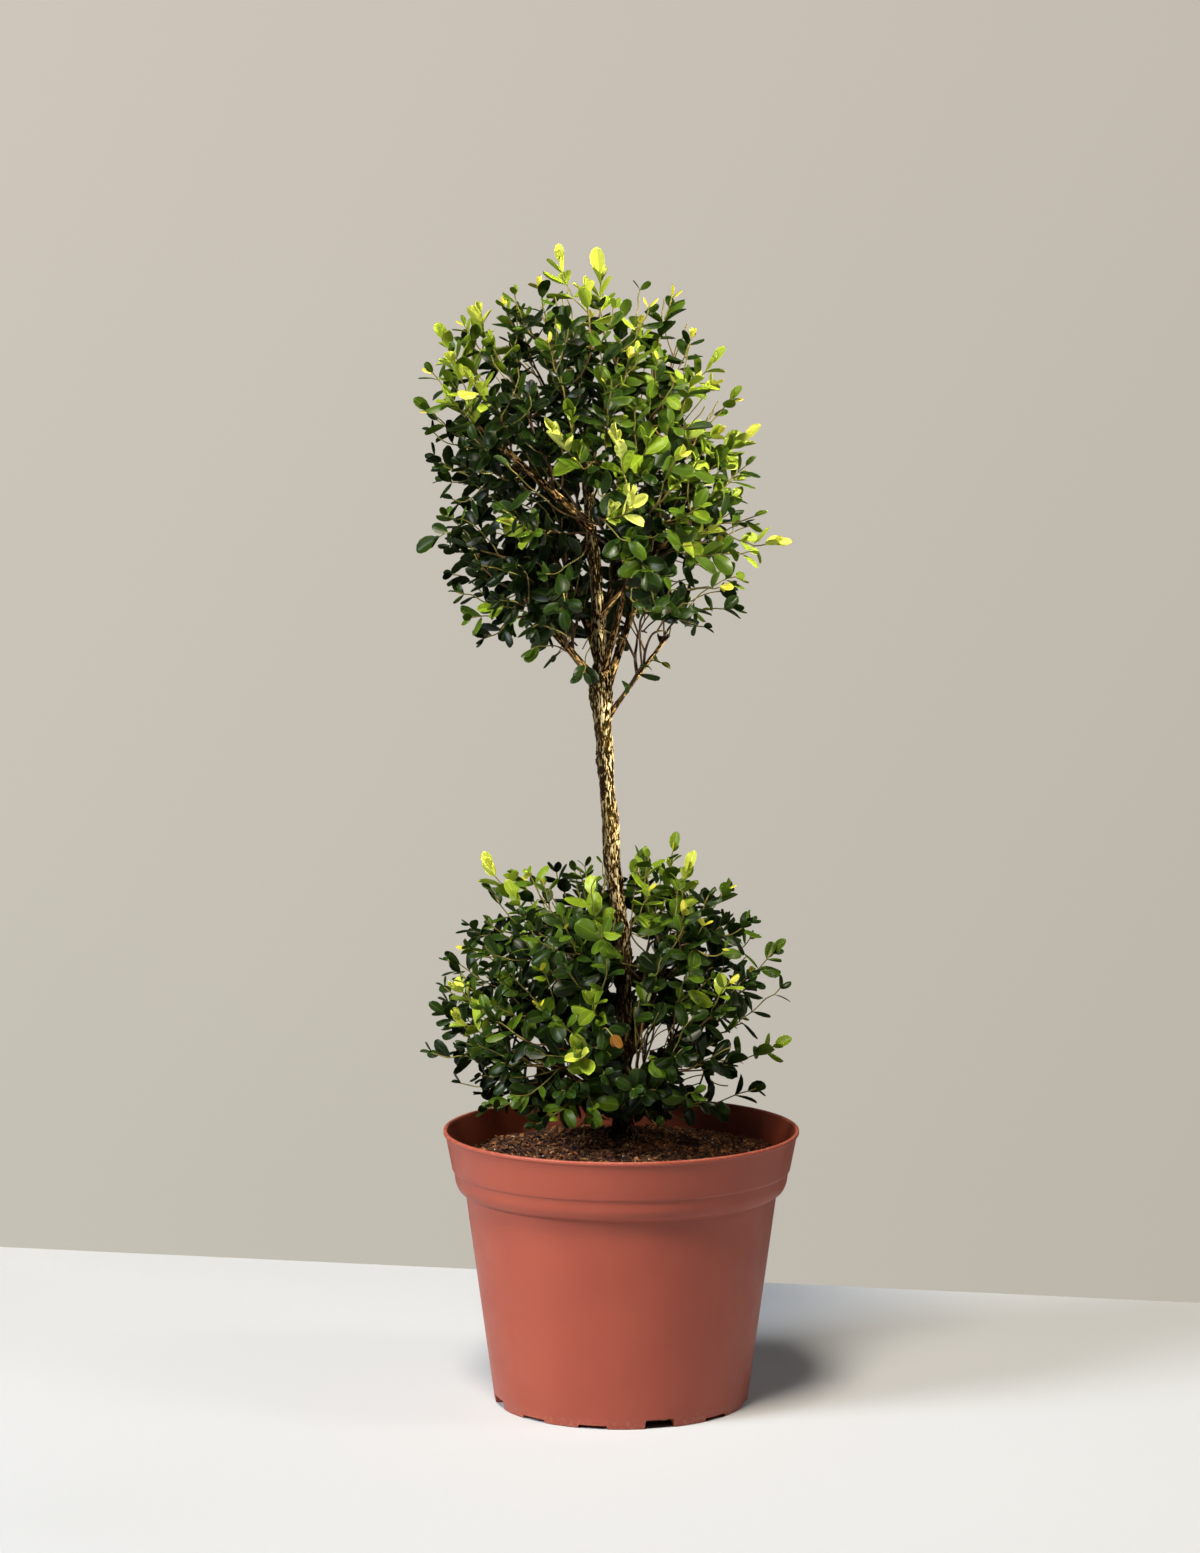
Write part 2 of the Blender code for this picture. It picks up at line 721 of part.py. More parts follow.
def shoot_leaves(path, way, middle, dice):
    """Root, direction and upper side of a shoot's leaves: one at the tip, then opposite pairs behind it."""
    outward = (path[-1] - middle).normalized()
    onward = way or (path[-1] - path[-2]).normalized()
    found = [(path[-1] - onward * LEAF_SINK, onward, face_up(onward, outward, dice))]
    turn = dice.uniform(0, 180)
    for share, spread in zip(PAIR_PLACES, PAIR_SPREAD):
        place, run = along_path(path, share)
        across = Matrix.Rotation(math.radians(turn), 3, run) @ run.orthogonal().normalized()
        for side in (-1, 1):
            angle = math.radians(spread + dice.uniform(-SPREAD_RANGE, SPREAD_RANGE))
            along = (run * math.cos(angle) + across * math.sin(angle) * side).normalized()
            found.append((place + along * PAIR_GAP, along, face_up(along, outward, dice)))
        turn += 90
    return found


def object_shape(thing):
    """An object's points in millimetres, and its faces."""
    points = [v.co / MM for v in thing.data.vertices]
    return points, [tuple(p.vertices) for p in thing.data.polygons]


def make_mass(mass, ends, limbs, others, material):
    """Grows one mass, leaves out what would touch a limb or another mass, and fuses the rest."""
    dice = random.Random(f"{SEED} {mass}")
    obstacles = surface_tree([object_shape(thing) for thing in limbs + others])
    twigs = grow_twigs(mass, ends, obstacles)
    twig_shapes = [tube(path, radii, TWIG_SIDES) for path, radii, _ in twigs]
    offers = [shoot_leaves(path, way, Vector(MASSES[mass][2]), dice) for path, _, way in twigs]
    leaves = []
    for rank in range(1 + 2 * len(PAIR_PLACES)):
        for own in range(1, len(twigs)):
            if rank == 0 and twigs[own][2] is None:
                continue
            root, along, up = offers[own][rank]
            around = leaf(root, along, up, LEAF_CLEAR)
            if out_of_bounds(around[0], mass, SPACE_OVERHANG) or meets(around, obstacles):
                continue
            blade = leaf(root, along, up, LEAF_CLEAR, ROOT_SHARE)
            if meets(blade, surface_tree(leaves + twig_shapes[:own] + twig_shapes[own + 1 :])):
                continue
            leaves.append(leaf(root, along, up))
    made = fuse(mass, twig_shapes + leaves, material)
    print(f"{mass}: {len(twigs) - 1} shoots of {len(ends)}, {len(leaves)} leaves")
    return made, len(leaves)


def fuse(name, shapes, material):
    """Joins closed shapes that run into one another into one body."""
    made = make_object(name, *shapes[0])
    group = bpy.data.collections.new(name)
    for shape in shapes[1:]:
        piece = make_object("piece", *shape)
        bpy.context.scene.collection.objects.unlink(piece)
        group.objects.link(piece)
    cut_or_join(made, "UNION", others=group)
    for piece in list(group.objects):
        bpy.data.objects.remove(piece)
    bpy.data.collections.remove(group)
    made.data.materials.clear()
    made.data.materials.append(material)
    return made


def main():
    clear_scene()
    plastic = make_material("terracotta_plastic", (0.45, 0.095, 0.055), 0.42)
    earth = make_material("potting_soil", (0.045, 0.022, 0.012), 0.95)
    bark = make_material("corky_bark", (0.17, 0.105, 0.05), 0.85)
    young_bark = make_material("bough_bark", (0.14, 0.10, 0.045), 0.8)
    foliage = make_material("boxwood_leaf", (0.045, 0.10, 0.018), 0.38)
    make_pot(plastic)
    make_soil(earth)
    limbs = [make_trunk(bark)]
    cutter = trunk_cutter()
    for name in BOUGHS:
        limbs.append(make_bough(name, cutter, young_bark))
    bpy.data.objects.remove(cutter)
    masses, total = [], 0
    for ball in BALLS:
        for mass, ends in shoot_ends(ball).items():
            made, leaves = make_mass(mass, ends, limbs, masses, foliage)
            masses.append(made)
            total += leaves
    print(f"{total} leaves in all")


main()
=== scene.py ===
# %% [markdown]
# # A boxwood trained as two balls on one stem
# The plant is a boxwood shrub in a plastic nursery pot. A plain solid model of it is loaded first. It stays
# underneath as the frame that everything is built on, and each piece made here stands for one or more of its
# solids. The plant's sizes are in millimetres, and MM turns them into Blender's metres. Only the camera, the
# table and the lamps are set up in metres. The side that faces the viewer is -Y, and the pot's flat
# underside is at Z = 0.

# %% Load the solid model
import json
import math
import random

import bpy
import numpy as np
from mathutils import Matrix, Vector, noise

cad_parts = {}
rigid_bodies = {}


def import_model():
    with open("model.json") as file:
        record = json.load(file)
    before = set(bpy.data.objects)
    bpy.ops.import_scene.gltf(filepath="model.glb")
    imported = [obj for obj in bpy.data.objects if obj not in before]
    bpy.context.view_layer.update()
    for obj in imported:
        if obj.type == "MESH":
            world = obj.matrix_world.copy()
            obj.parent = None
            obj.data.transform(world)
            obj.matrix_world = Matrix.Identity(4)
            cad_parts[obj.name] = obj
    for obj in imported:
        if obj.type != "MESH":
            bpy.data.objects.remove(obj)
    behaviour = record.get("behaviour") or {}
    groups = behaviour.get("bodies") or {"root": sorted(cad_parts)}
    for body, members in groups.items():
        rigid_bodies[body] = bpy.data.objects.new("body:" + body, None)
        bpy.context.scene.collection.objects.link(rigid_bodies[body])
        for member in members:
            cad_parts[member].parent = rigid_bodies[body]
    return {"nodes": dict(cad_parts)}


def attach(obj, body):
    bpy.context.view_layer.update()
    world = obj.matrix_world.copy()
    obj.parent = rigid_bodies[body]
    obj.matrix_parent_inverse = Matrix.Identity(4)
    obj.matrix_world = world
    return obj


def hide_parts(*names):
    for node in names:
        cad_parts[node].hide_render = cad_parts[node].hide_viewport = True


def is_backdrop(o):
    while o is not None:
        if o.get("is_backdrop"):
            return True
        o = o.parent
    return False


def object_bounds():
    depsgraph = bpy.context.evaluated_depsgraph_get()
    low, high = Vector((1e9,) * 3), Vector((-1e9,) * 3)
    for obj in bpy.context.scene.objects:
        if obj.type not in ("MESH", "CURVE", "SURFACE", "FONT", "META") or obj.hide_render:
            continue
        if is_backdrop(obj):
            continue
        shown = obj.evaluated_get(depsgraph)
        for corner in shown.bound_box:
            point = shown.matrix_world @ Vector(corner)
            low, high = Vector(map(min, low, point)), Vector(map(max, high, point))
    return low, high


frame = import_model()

MM = 0.001
solid_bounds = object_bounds()
print(f"{len(frame['nodes'])} solids, {(solid_bounds[1].z - solid_bounds[0].z) / MM:.1f} mm high")

# %% [markdown]
# ## The camera
# The photograph was taken from a little above the middle of the plant, with a long lens that hardly
# distorts. A camera keeps that look only if both its distance and its lens are right, so they were worked
# out from the pot's rim and foot, whose curves show how steeply the camera looks down.

# %% Set up the camera
EYE = Vector((-0.0149, -2.8, 0.7227))
LOOKING_DOWN = math.radians(5.737)
LENS = 93.62

camera_data = bpy.data.cameras.new("camera")
camera_data.sensor_fit = "VERTICAL"
camera_data.sensor_height = 36.0
camera_data.lens = LENS
camera = bpy.data.objects.new("camera", camera_data)
camera.location = EYE
camera.rotation_euler = (math.pi / 2 - LOOKING_DOWN, 0, 0)
bpy.context.scene.collection.objects.link(camera)
bpy.context.scene.camera = camera
print(f"camera {-EYE.y:.2f} m in front of the plant, with a {LENS:.0f} mm lens")

# %% [markdown]
# ## Adding nodes from code
# Materials and Geometry Nodes are both trees of nodes. Wiring each node by hand takes three lines every
# time, so one helper adds a node, fills or links its sockets, and hands back an output for the next node.

# %% A helper that adds one node


def add_node(tree, kind, *values, out=0, **settings):
    """Adds a node and returns one of its outputs. Values go to its sockets in order, or by name from a dict.
    A socket is linked, anything else is set, and None leaves the socket as it is."""
    node = tree.nodes.new(kind)
    for key, value in settings.items():
        setattr(node, key, value)
    sockets = [socket for socket in node.inputs if socket.enabled]
    pairs = list(zip(sockets, values))
    if values and isinstance(values[0], dict):
        pairs = [(node.inputs[key], value) for key, value in values[0].items()]
    for socket, value in pairs:
        if isinstance(value, bpy.types.NodeSocket):
            tree.links.new(value, socket)
        elif value is not None:
            socket.default_value = value
    return [socket for socket in node.outputs if socket.enabled][out]


def calculate(tree, operation, *values):
    """One sum on numbers."""
    return add_node(tree, "ShaderNodeMath", *values, operation=operation)


def calculate_vector(tree, operation, *values):
    """One sum on vectors."""
    return add_node(tree, "ShaderNodeVectorMath", *values, operation=operation)


print("helpers for node trees are ready")

# %% [markdown]
# ## A finish as nodes
# A finish starts from the Principled shader. Numbers that are the same all over are set on its own sockets.
# A colour or a bump that changes over the surface comes from noise in Object coordinates, which stay with
# the piece from every side.

# %% Helpers for finishes


def new_finish(name, roughness, **sockets):
    """A material with these values on its Principled shader. Underscores in names stand for spaces."""
    made = bpy.data.materials.new(name)
    made.use_nodes = True
    shader = made.node_tree.nodes["Principled BSDF"]
    shader.inputs["Roughness"].default_value = roughness
    for key, value in sockets.items():
        shader.inputs[key.replace("_", " ")].default_value = value
    return made


def place_on_piece(tree):
    return add_node(tree, "ShaderNodeTexCoord", out=3)


def grain(tree, place, size, detail, roughness=0.5):
    """Smooth noise whose lumps are about this many millimetres apart."""
    return add_node(tree, "ShaderNodeTexNoise", place, 1 / (size * MM), detail, roughness)


def ramp(tree, share, *stops):
    """Colours by share, from (position, colour) pairs."""
    out = add_node(tree, "ShaderNodeValToRGB", share)
    elements = out.node.color_ramp.elements
    while len(elements) < len(stops):
        elements.new(0.5)
    for element, (position, colour) in zip(elements, stops):
        element.position = position
        element.color = (*colour, 1.0)
    return out


def stretch(tree, value, low, high, new_low=0.0, new_high=1.0):
    """Turns the range from low to high into the new one, and keeps what is outside at its ends."""
    return add_node(tree, "ShaderNodeMapRange", value, low, high, new_low, new_high)


def blend_colours(tree, share, first, second):
    """A mix of two colours, each of them an output or three plain numbers."""
    values = []
    for colour in (first, second):
        values.append(colour if isinstance(colour, bpy.types.NodeSocket) else (*colour, 1.0))
    return add_node(tree, "ShaderNodeMix", share, *values, data_type="RGBA")


def connect(finish, **sockets):
    """Links outputs to the Principled shader's sockets."""
    shader = finish.node_tree.nodes["Principled BSDF"]
    for key, value in sockets.items():
        finish.node_tree.links.new(value, shader.inputs[key.replace("_", " ")])


def add_bump(finish, height, strength, depth):
    values = {"Height": height, "Strength": strength, "Distance": depth * MM}
    connect(finish, Normal=add_node(finish.node_tree, "ShaderNodeBump", values))


print("helpers for finishes are ready")

# %% [markdown]
# ## The table top and the backdrop
# The plant stands on a white table in front of a warm grey backdrop. The lamps light the table most where
# they meet, and yet it is the same white from side to side in the photograph. So its paint is greyer at that
# spot and grows lighter round it. Both whites are a little blue, because the lamps are warm.

# %% Make the table top
TABLE_FAR_EDGE = ((-3.0, 1.012), (3.0, -0.242))  # where the table ends behind the plant
TABLE_NEAR = -3.2
TABLE_THICKNESS = 0.001
TABLE_WHITES = (0.366, 0.386, 0.416), (0.472, 0.498, 0.538)  # where the lamps meet, and far from there
BRIGHTEST_SPOT = (-0.36, -0.30, 0.0)
BRIGHT_REACH = 1.14  # from this far from the brightest spot, the paint is the lighter one


def table_paint():
    made = new_finish("white_table", 0.8)
    tree = made.node_tree
    distance = calculate_vector(tree, "DISTANCE", place_on_piece(tree), BRIGHTEST_SPOT)
    connect(made, Base_Color=blend_colours(tree, stretch(tree, distance, 0.0, BRIGHT_REACH), *TABLE_WHITES))
    return made


def make_table_top():
    far_left, far_right = TABLE_FAR_EDGE
    corners = [(far_left[0], TABLE_NEAR), (far_right[0], TABLE_NEAR), far_right, far_left]
    points = [(x, y, z) for z in (-TABLE_THICKNESS, 0.0) for x, y in corners]
    faces = [(3, 2, 1, 0), (4, 5, 6, 7), (0, 1, 5, 4), (1, 2, 6, 5), (2, 3, 7, 6), (3, 0, 4, 7)]
    mesh = bpy.data.meshes.new("table_top")
    mesh.from_pydata(points, [], faces)
    mesh.materials.append(table_paint())
    made = bpy.data.objects.new("table_top", mesh)
    bpy.context.scene.collection.objects.link(made)
    return made


table_top = make_table_top()
table_top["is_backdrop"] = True
print(f"table top {table_top.dimensions.x:.0f} m wide")

# %% [markdown]
# The backdrop is only a colour far behind the table, so it can be the world itself. The eye sees a warm
# grey, painted a little darker on the right and towards its foot as painted shade. The plant gets a much
# weaker light from it, soft and from all round. A little more of that comes from behind, so that the leaves
# there aren't black when the plant is turned round.

# %% Make the backdrop
BACKDROP_TOP = (0.615, 0.563, 0.497), (0.545, 0.500, 0.438)  # on the left, on the right
BACKDROP_FOOT = (0.563, 0.533, 0.464), (0.504, 0.465, 0.405)
BACKDROP_SIDES = (-0.15, 0.15)  # the ways left and right between which its colour changes
BACKDROP_HEIGHTS = (0.08, -0.2)  # and the ways up and down
SOFT_LIGHT = (0.024, 0.022, 0.019)
LIGHT_FROM_BEHIND = (0.13, 0.125, 0.115)
BEHIND = (0.1, 0.9)  # how far back a way leads where the light from behind begins and is full


def make_backdrop():
    world = bpy.data.worlds.new("backdrop")
    world.use_nodes = True
    tree = world.node_tree
    way = add_node(tree, "ShaderNodeTexCoord")
    across, back, up = (add_node(tree, "ShaderNodeSeparateXYZ", way, out=axis) for axis in range(3))
    # The grey is painted darker to the right and towards the foot, as painted shade.
    to_right = stretch(tree, across, *BACKDROP_SIDES)
    top, foot = (blend_colours(tree, to_right, *greys) for greys in (BACKDROP_TOP, BACKDROP_FOOT))
    grey = blend_colours(tree, stretch(tree, up, *BACKDROP_HEIGHTS), top, foot)
    soft = blend_colours(tree, stretch(tree, back, *BEHIND), SOFT_LIGHT, LIGHT_FROM_BEHIND)
    by_eye = add_node(tree, "ShaderNodeLightPath")
    colour = blend_colours(tree, by_eye, soft, grey)
    tree.links.new(colour, tree.nodes["Background"].inputs["Color"])
    bpy.context.scene.world = world


make_backdrop()
bpy.context.scene.view_settings.view_transform = "Standard"
print("backdrop is in place")

# %% [markdown]
# ## The lamps
# A wide warm lamp high overhead lights the tops of the leaves and leaves the inside of the balls dark. A
# second one, in front and on the left, models the pot and throws the soft shadow to the right. The other two
# stand on the right and are shaded so narrowly that one lights only the upper ball and the stem, and the
# other, a very weak one, only the pot's foot, as light thrown back by the table does.

# %% Hang the lamps
LAMPS = {
    "left_lamp": dict(
        to_left=60, height=33, distance=3.2, aim=0.0,
        size=1.2, spread=60, power=15.2, colour=(0.96, 1.0, 1.04),
    ),
    "overhead_lamp": dict(
        to_left=20, height=63, distance=6.5, aim=0.5,
        size=1.8, spread=180, power=700.0, colour=(1.0, 0.89, 0.73),
    ),
    "right_lamp": dict(
        to_left=-62, height=20, distance=3.2, aim=0.66,
        size=0.3, spread=13, power=1.8, colour=(1.0, 0.93, 0.78),
    ),
    "foot_lamp": dict(
        to_left=-70, height=48, distance=3.2, aim=0.06,
        size=0.8, spread=24, power=0.5, colour=(1.0, 0.95, 0.86),
    ),
}


def lamp_way(to_left, height):
    """The way to a lamp so many degrees to the left of the camera and above the horizon."""
    turn, rise = math.radians(to_left), math.radians(height)
    return Vector((-math.sin(turn) * math.cos(rise), -math.cos(turn) * math.cos(rise), math.sin(rise)))


def hang_lamp(name, to_left, height, distance, aim, size, spread, power, colour):
    """A round lamp, aimed at a height above the table. Shades narrow its spread, in degrees."""
    data = bpy.data.lights.new(name, "AREA")
    data.shape = "DISK"
    data.size, data.spread, data.energy, data.color = size, math.radians(spread), power, colour
    made = bpy.data.objects.new(name, data)
    way = lamp_way(to_left, height)
    made.location = Vector((0, 0, aim)) + way * distance
    made.rotation_euler = way.to_track_quat("Z", "Y").to_euler()
    bpy.context.scene.collection.objects.link(made)
    print(f"{name} {size} m wide, {distance} m away")


for name, values in LAMPS.items():
    hang_lamp(name, **values)

# %% [markdown]
# ## Meshes and kept pieces
# Every piece ends as a plain mesh whose object sits at the origin. A piece then rides on the model's one
# body and hides the solids that it stands for.

# %% Helpers for meshes and kept pieces


def plain_mesh(name, points, faces, edges=()):
    """A mesh object from points in millimetres."""
    mesh = bpy.data.meshes.new(name)
    mesh.from_pydata([Vector(p) * MM for p in points], edges, faces)
    made = bpy.data.objects.new(name, mesh)
    bpy.context.scene.collection.objects.link(made)
    return made


def store(thing, name, kind, values, domain="POINT"):
    """Writes one value, or one vector, for each point, edge or face of a mesh."""
    attribute = thing.data.attributes.new(name, kind, domain)
    field = "vector" if kind == "FLOAT_VECTOR" else "value"
    attribute.data.foreach_set(field, np.array(values).ravel())


def triangles(thing):
    return sum(len(face.vertices) - 2 for face in thing.data.polygons)


def keep_piece(piece, slot, *nodes):
    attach(piece, "root")
    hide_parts(*nodes)
    print(f"{piece.name}: {triangles(piece)} triangles")


def evaluated_mesh(thing):
    """The mesh that an object's modifiers make of it."""
    graph = bpy.context.evaluated_depsgraph_get()
    return bpy.data.meshes.new_from_object(thing.evaluated_get(graph))


print("helpers for meshes are ready")

# %% [markdown]
# ## The pot
# A nursery pot is blown or pressed from thin plastic, so every part of it is round about one axis: a plain
# tapering wall, a wider collar at the top with a small step half-way up, and a thin lip. A turned outline
# gives all of that at once. Real moulded corners are never sharp, so the outline's corners are rounded
# before it is turned.

# %% Draw the pot's outline
POT_HEIGHT = 193.0
RIM_RADIUS = 125.0
POT_SIDES = 192
POT_OUTSIDE = (  # radius, height, rounding of the corner
    (0, 0, 0),
    (69.5, 0, 0.8),
    (72.0, 2.6, 1.2),
    (83.6, 2.6, 0.3),
    (84.6, 0, 0.5),
    (89.3, 0, 0.9),
    (109.5, 149.0, 1.0),
    (113.9, 150.8, 1.6),
    (116.5, 156.0, 3.0),
    (117.5, 164.3, 0.5),
    (118.8, 165.5, 0.6),
    (123.5, 189.8, 0.5),
    (RIM_RADIUS, 190.6, 0.6),
    (RIM_RADIUS, POT_HEIGHT, 0.9),
)
POT_INSIDE = (
    (122.4, POT_HEIGHT, 0.9),
    (121.8, 190.0, 1.0),
    (114.7, 156.0, 3.0),
    (107.6, 149.6, 2.0),
    (87.9, 4.6, 1.0),
    (72.0, 4.6, 0.6),
    (70.0, 2.0, 0.6),
    (0, 2.0, 0),
)


def bend(start, control, end, steps):
    """Points of a curve from start to end that is pulled towards control."""
    found = []
    for i in range(steps + 1):
        t = i / steps
        found.append(start * (1 - t) ** 2 + control * (2 * t * (1 - t)) + end * t**2)
    return found


def rounded(outline, steps=3):
    """Replaces each corner (radius, height, rounding) by a short curve."""
    corners = [Vector(corner[:2]) for corner in outline]
    found = []
    for i, (corner, (_, _, rounding)) in enumerate(zip(corners, outline)):
        if rounding == 0:
            found.append(corner)
            continue
        before, after = corners[i - 1], corners[(i + 1) % len(corners)]
        start = corner + (before - corner).normalized() * min(rounding, (before - corner).length / 2)
        end = corner + (after - corner).normalized() * min(rounding, (after - corner).length / 2)
        found += bend(start, corner, end, steps)
    return found


def with_extra_rows(outline, longest=14.0):
    """Splits long straight runs, so that the wall's faces aren't long strips."""
    found = []
    for point, after in zip(outline, outline[1:]):
        pieces = math.ceil((after - point).length / longest)
        found += [point.lerp(after, k / pieces) for k in range(pieces)]
    return found + [outline[-1]]


def turned(outline, sides):
    """Points and faces of a closed outline of (radius, height) turned about Z."""
    points, rings = [], []
    for radius, height in outline:
        if radius == 0:
            rings.append([len(points)] * sides)
            points.append((0, 0, height))
            continue
        rings.append(list(range(len(points), len(points) + sides)))
        for k in range(sides):
            angle = 2 * math.pi * k / sides
            points.append((radius * math.cos(angle), radius * math.sin(angle), height))
    faces = []
    for low, high in zip(rings, rings[1:] + rings[:1]):
        if low[0] == low[1] and high[0] == high[1]:
            continue
        for k in range(sides):
            n = (k + 1) % sides
            faces.append(list(dict.fromkeys([low[k], low[n], high[n], high[k]])))
    return points, faces


pot_outline = with_extra_rows(rounded(POT_OUTSIDE + POT_INSIDE))
pot = plain_mesh("nursery_pot", *turned(pot_outline, POT_SIDES))
print(f"pot outline of {len(pot_outline)} points")

# %% [markdown]
# Twelve shallow notches are cut across the pot's foot, and water runs out through every third one, which is
# higher and opens into the pot. They are cut with a Boolean, as a tool would cut them.

# %% Cut the notches in the pot's foot
NOTCHES = 12
FIRST_NOTCH = 17.0  # degrees from the front, towards the right
NOTCH_WIDTH = 21.0
NOTCH_LEAN = 0.6  # how far each side of a notch leans out at its foot
NOTCH_REACH = (79.0, 95.0)  # from inside the ring that the pot stands on to outside the wall
NOTCH_HEIGHT = 2.5
DRAIN_EVERY = 3
DRAIN_HEIGHT = 6.4
BELOW_FOOT = 2.0
SHARP_ANGLE = 38.0  # edges that turn more than this are shaded as sharp


def notch_cutters():
    """All the blocks that are cut away, as one mesh."""
    near, far = NOTCH_REACH
    points, faces = [], []
    for k in range(NOTCHES):
        height = NOTCH_HEIGHT if k % DRAIN_EVERY else DRAIN_HEIGHT
        turn = Matrix.Rotation(math.radians(FIRST_NOTCH + 360 / NOTCHES * k), 3, "Z")
        first = len(points)
        for z, half in ((-BELOW_FOOT, NOTCH_WIDTH / 2 + NOTCH_LEAN), (height, NOTCH_WIDTH / 2 - NOTCH_LEAN)):
            for x, y in ((-half, near), (half, near), (half, far), (-half, far)):
                points.append(turn @ Vector((x, -y, z)))
        for face in ((0, 1, 2, 3), (7, 6, 5, 4), (0, 4, 5, 1), (1, 5, 6, 2), (2, 6, 7, 3), (3, 7, 4, 0)):
            faces.append([first + i for i in face])
    return points, faces


cutters = plain_mesh("notch_cutters", *notch_cutters())
cut = pot.modifiers.new("notches", "BOOLEAN")
cut.operation, cut.solver, cut.object = "DIFFERENCE", "EXACT", cutters
pot_mesh = evaluated_mesh(pot)
pot.modifiers.remove(cut)
pot.data = pot_mesh
bpy.data.objects.remove(cutters)
pot.data.shade_smooth()
pot.data.set_sharp_from_angle(angle=math.radians(SHARP_ANGLE))
print(f"{NOTCHES} notches cut")

# %% [markdown]
# The plastic is a dusty terracotta red with a soft sheen. It isn't one flat colour: the pigment clouds a
# little, the foot and the lip are scuffed paler, and the wall has a fine skin from the mould. The inside of
# the collar is painted darker than the outside, as painted shade.

# %% Give the pot its plastic
PLASTIC_REDS = (0.256, 0.049, 0.028), (0.286, 0.058, 0.033)  # the pigment clouds between these
# Painted shade on the inside of the collar.
PLASTIC_INSIDE_SHADE = (0.24, 0.048, 0.020)
PLASTIC_SCUFFS = (0.48, 0.23, 0.17)
PLASTIC_SCRATCHES = (0.44, 0.17, 0.12)
COLLAR_FOOT = (165.0, 166.0)  # the painted shade on the inner face begins between these heights
COLLAR_SLOPE = 0.2  # how fast the collar widens towards the lip
COLLAR_MIDDLE = 84.8  # the radius between its two faces, if it went on down to the ground
FOOT_SCUFFED = (9.0, 0.0)  # no scuffs at the first height, most at the second
LIP_SCUFFED = (191.2, 192.6)
SCUFFS_SHOW, SCRATCHES_SHOW = 0.4, 0.14


def inner_shade_share(tree, place, up):
    """Where the painted shade lies: 1 on the collar's inner face and 0 on its outer one."""
    radius = calculate_vector(tree, "LENGTH", calculate_vector(tree, "MULTIPLY", place, (1.0, 1.0, 0.0)))
    middle = calculate(tree, "MULTIPLY_ADD", up, COLLAR_SLOPE, COLLAR_MIDDLE * MM)
    inner = stretch(tree, calculate(tree, "SUBTRACT", middle, radius), 0.0, 0.6 * MM)
    low, high = COLLAR_FOOT
    return calculate(tree, "MULTIPLY", inner, stretch(tree, up, low * MM, high * MM))


def plastic_finish():
    made = new_finish("terracotta_plastic", 0.45, Specular_IOR_Level=0.34)
    tree = made.node_tree
    place = place_on_piece(tree)
    up = add_node(tree, "ShaderNodeSeparateXYZ", place, out=2)
    clouds = stretch(tree, grain(tree, place, 46, 3.0), 0.3, 0.7)
    colour = blend_colours(tree, clouds, *PLASTIC_REDS)
    # The collar's inner face is painted darker, as painted shade.
    colour = blend_colours(tree, inner_shade_share(tree, place, up), colour, PLASTIC_INSIDE_SHADE)
    edges = [stretch(tree, up, low * MM, high * MM) for low, high in (FOOT_SCUFFED, LIP_SCUFFED)]
    scuffs = stretch(tree, grain(tree, place, 2.4, 4.0, 0.7), 0.5, 0.62, 0.0, SCUFFS_SHOW)
    scuffs = calculate(tree, "MULTIPLY", calculate(tree, "MAXIMUM", *edges), scuffs)
    colour = blend_colours(tree, scuffs, colour, PLASTIC_SCUFFS)
    scratches = stretch(tree, grain(tree, place, 0.9, 5.0, 0.75), 0.60, 0.72, 0.0, SCRATCHES_SHOW)
    colour = blend_colours(tree, scratches, colour, PLASTIC_SCRATCHES)
    roughness = stretch(tree, grain(tree, place, 18, 3.0), 0.3, 0.7, 0.40, 0.50)
    connect(made, Base_Color=colour, Roughness=roughness)
    add_bump(made, grain(tree, place, 1.6, 3.0), 0.18, 0.12)
    return made


pot.data.materials.append(plastic_finish())
keep_piece(pot, "pot", "pot")

# %% [markdown]
# ## The soil
# Potting soil is a mix of dark peat, shredded bark and a few white grains of perlite. The surface here is a
# turned body whose top rings are lifted by the same gentle dome and lumps as the solid's, and then by finer
# crumbs. It fills the pot, so that it is closed and seen as solid from any side.

# %% Shape the soil
SOIL_EDGE_HEIGHT = 172.0
SOIL_MIDDLE_HEIGHT = 186.0
SOIL_SEAT_RADIUS = 18.0
SOIL_EDGE_RADIUS = 118.05
SOIL_DOME = 1.3  # above 1, the dome falls away faster towards its edge
SOIL_LUMP = 2.4
SOIL_LUMP_WIDTH = 23.0
# The soil's outline below its surface, 0.3 clear of the pot.
SOIL_BELOW = ((0, 2.3), (69.7, 2.3), (71.7, 4.9), (87.3, 4.9), (107.2, 149.9), (114.4, 156.3))
SOIL_TOP_RADIUS = 117.3
SOIL_RINGS = 84
SOIL_SIDES = 300
CRUMBS = ((9.0, 1.3, 3.1), (3.2, 0.9, 7.7), (1.5, 0.45, 1.9))  # width, height, slice of the noise
CRUMBS_SINK = 0.6  # keeps most crumbs below the solid's surface


def soil_height(x, y):
    """Height of the solid soil's surface."""
    share = max(0.0, (math.hypot(x, y) - SOIL_SEAT_RADIUS) / (SOIL_EDGE_RADIUS - SOIL_SEAT_RADIUS))
    dome = SOIL_MIDDLE_HEIGHT + (SOIL_EDGE_HEIGHT - SOIL_MIDDLE_HEIGHT) * share**SOIL_DOME
    lump = noise.noise(Vector((x / SOIL_LUMP_WIDTH, y / SOIL_LUMP_WIDTH, 0.4))) * SOIL_LUMP
    return dome + lump * min(1.0, share * 4)


def crumbs(x, y):
    """Clods, grains and dust on the surface, each a finer noise than the last."""
    return sum(noise.noise(Vector((x / width, y / width, part))) * height for width, height, part in CRUMBS)


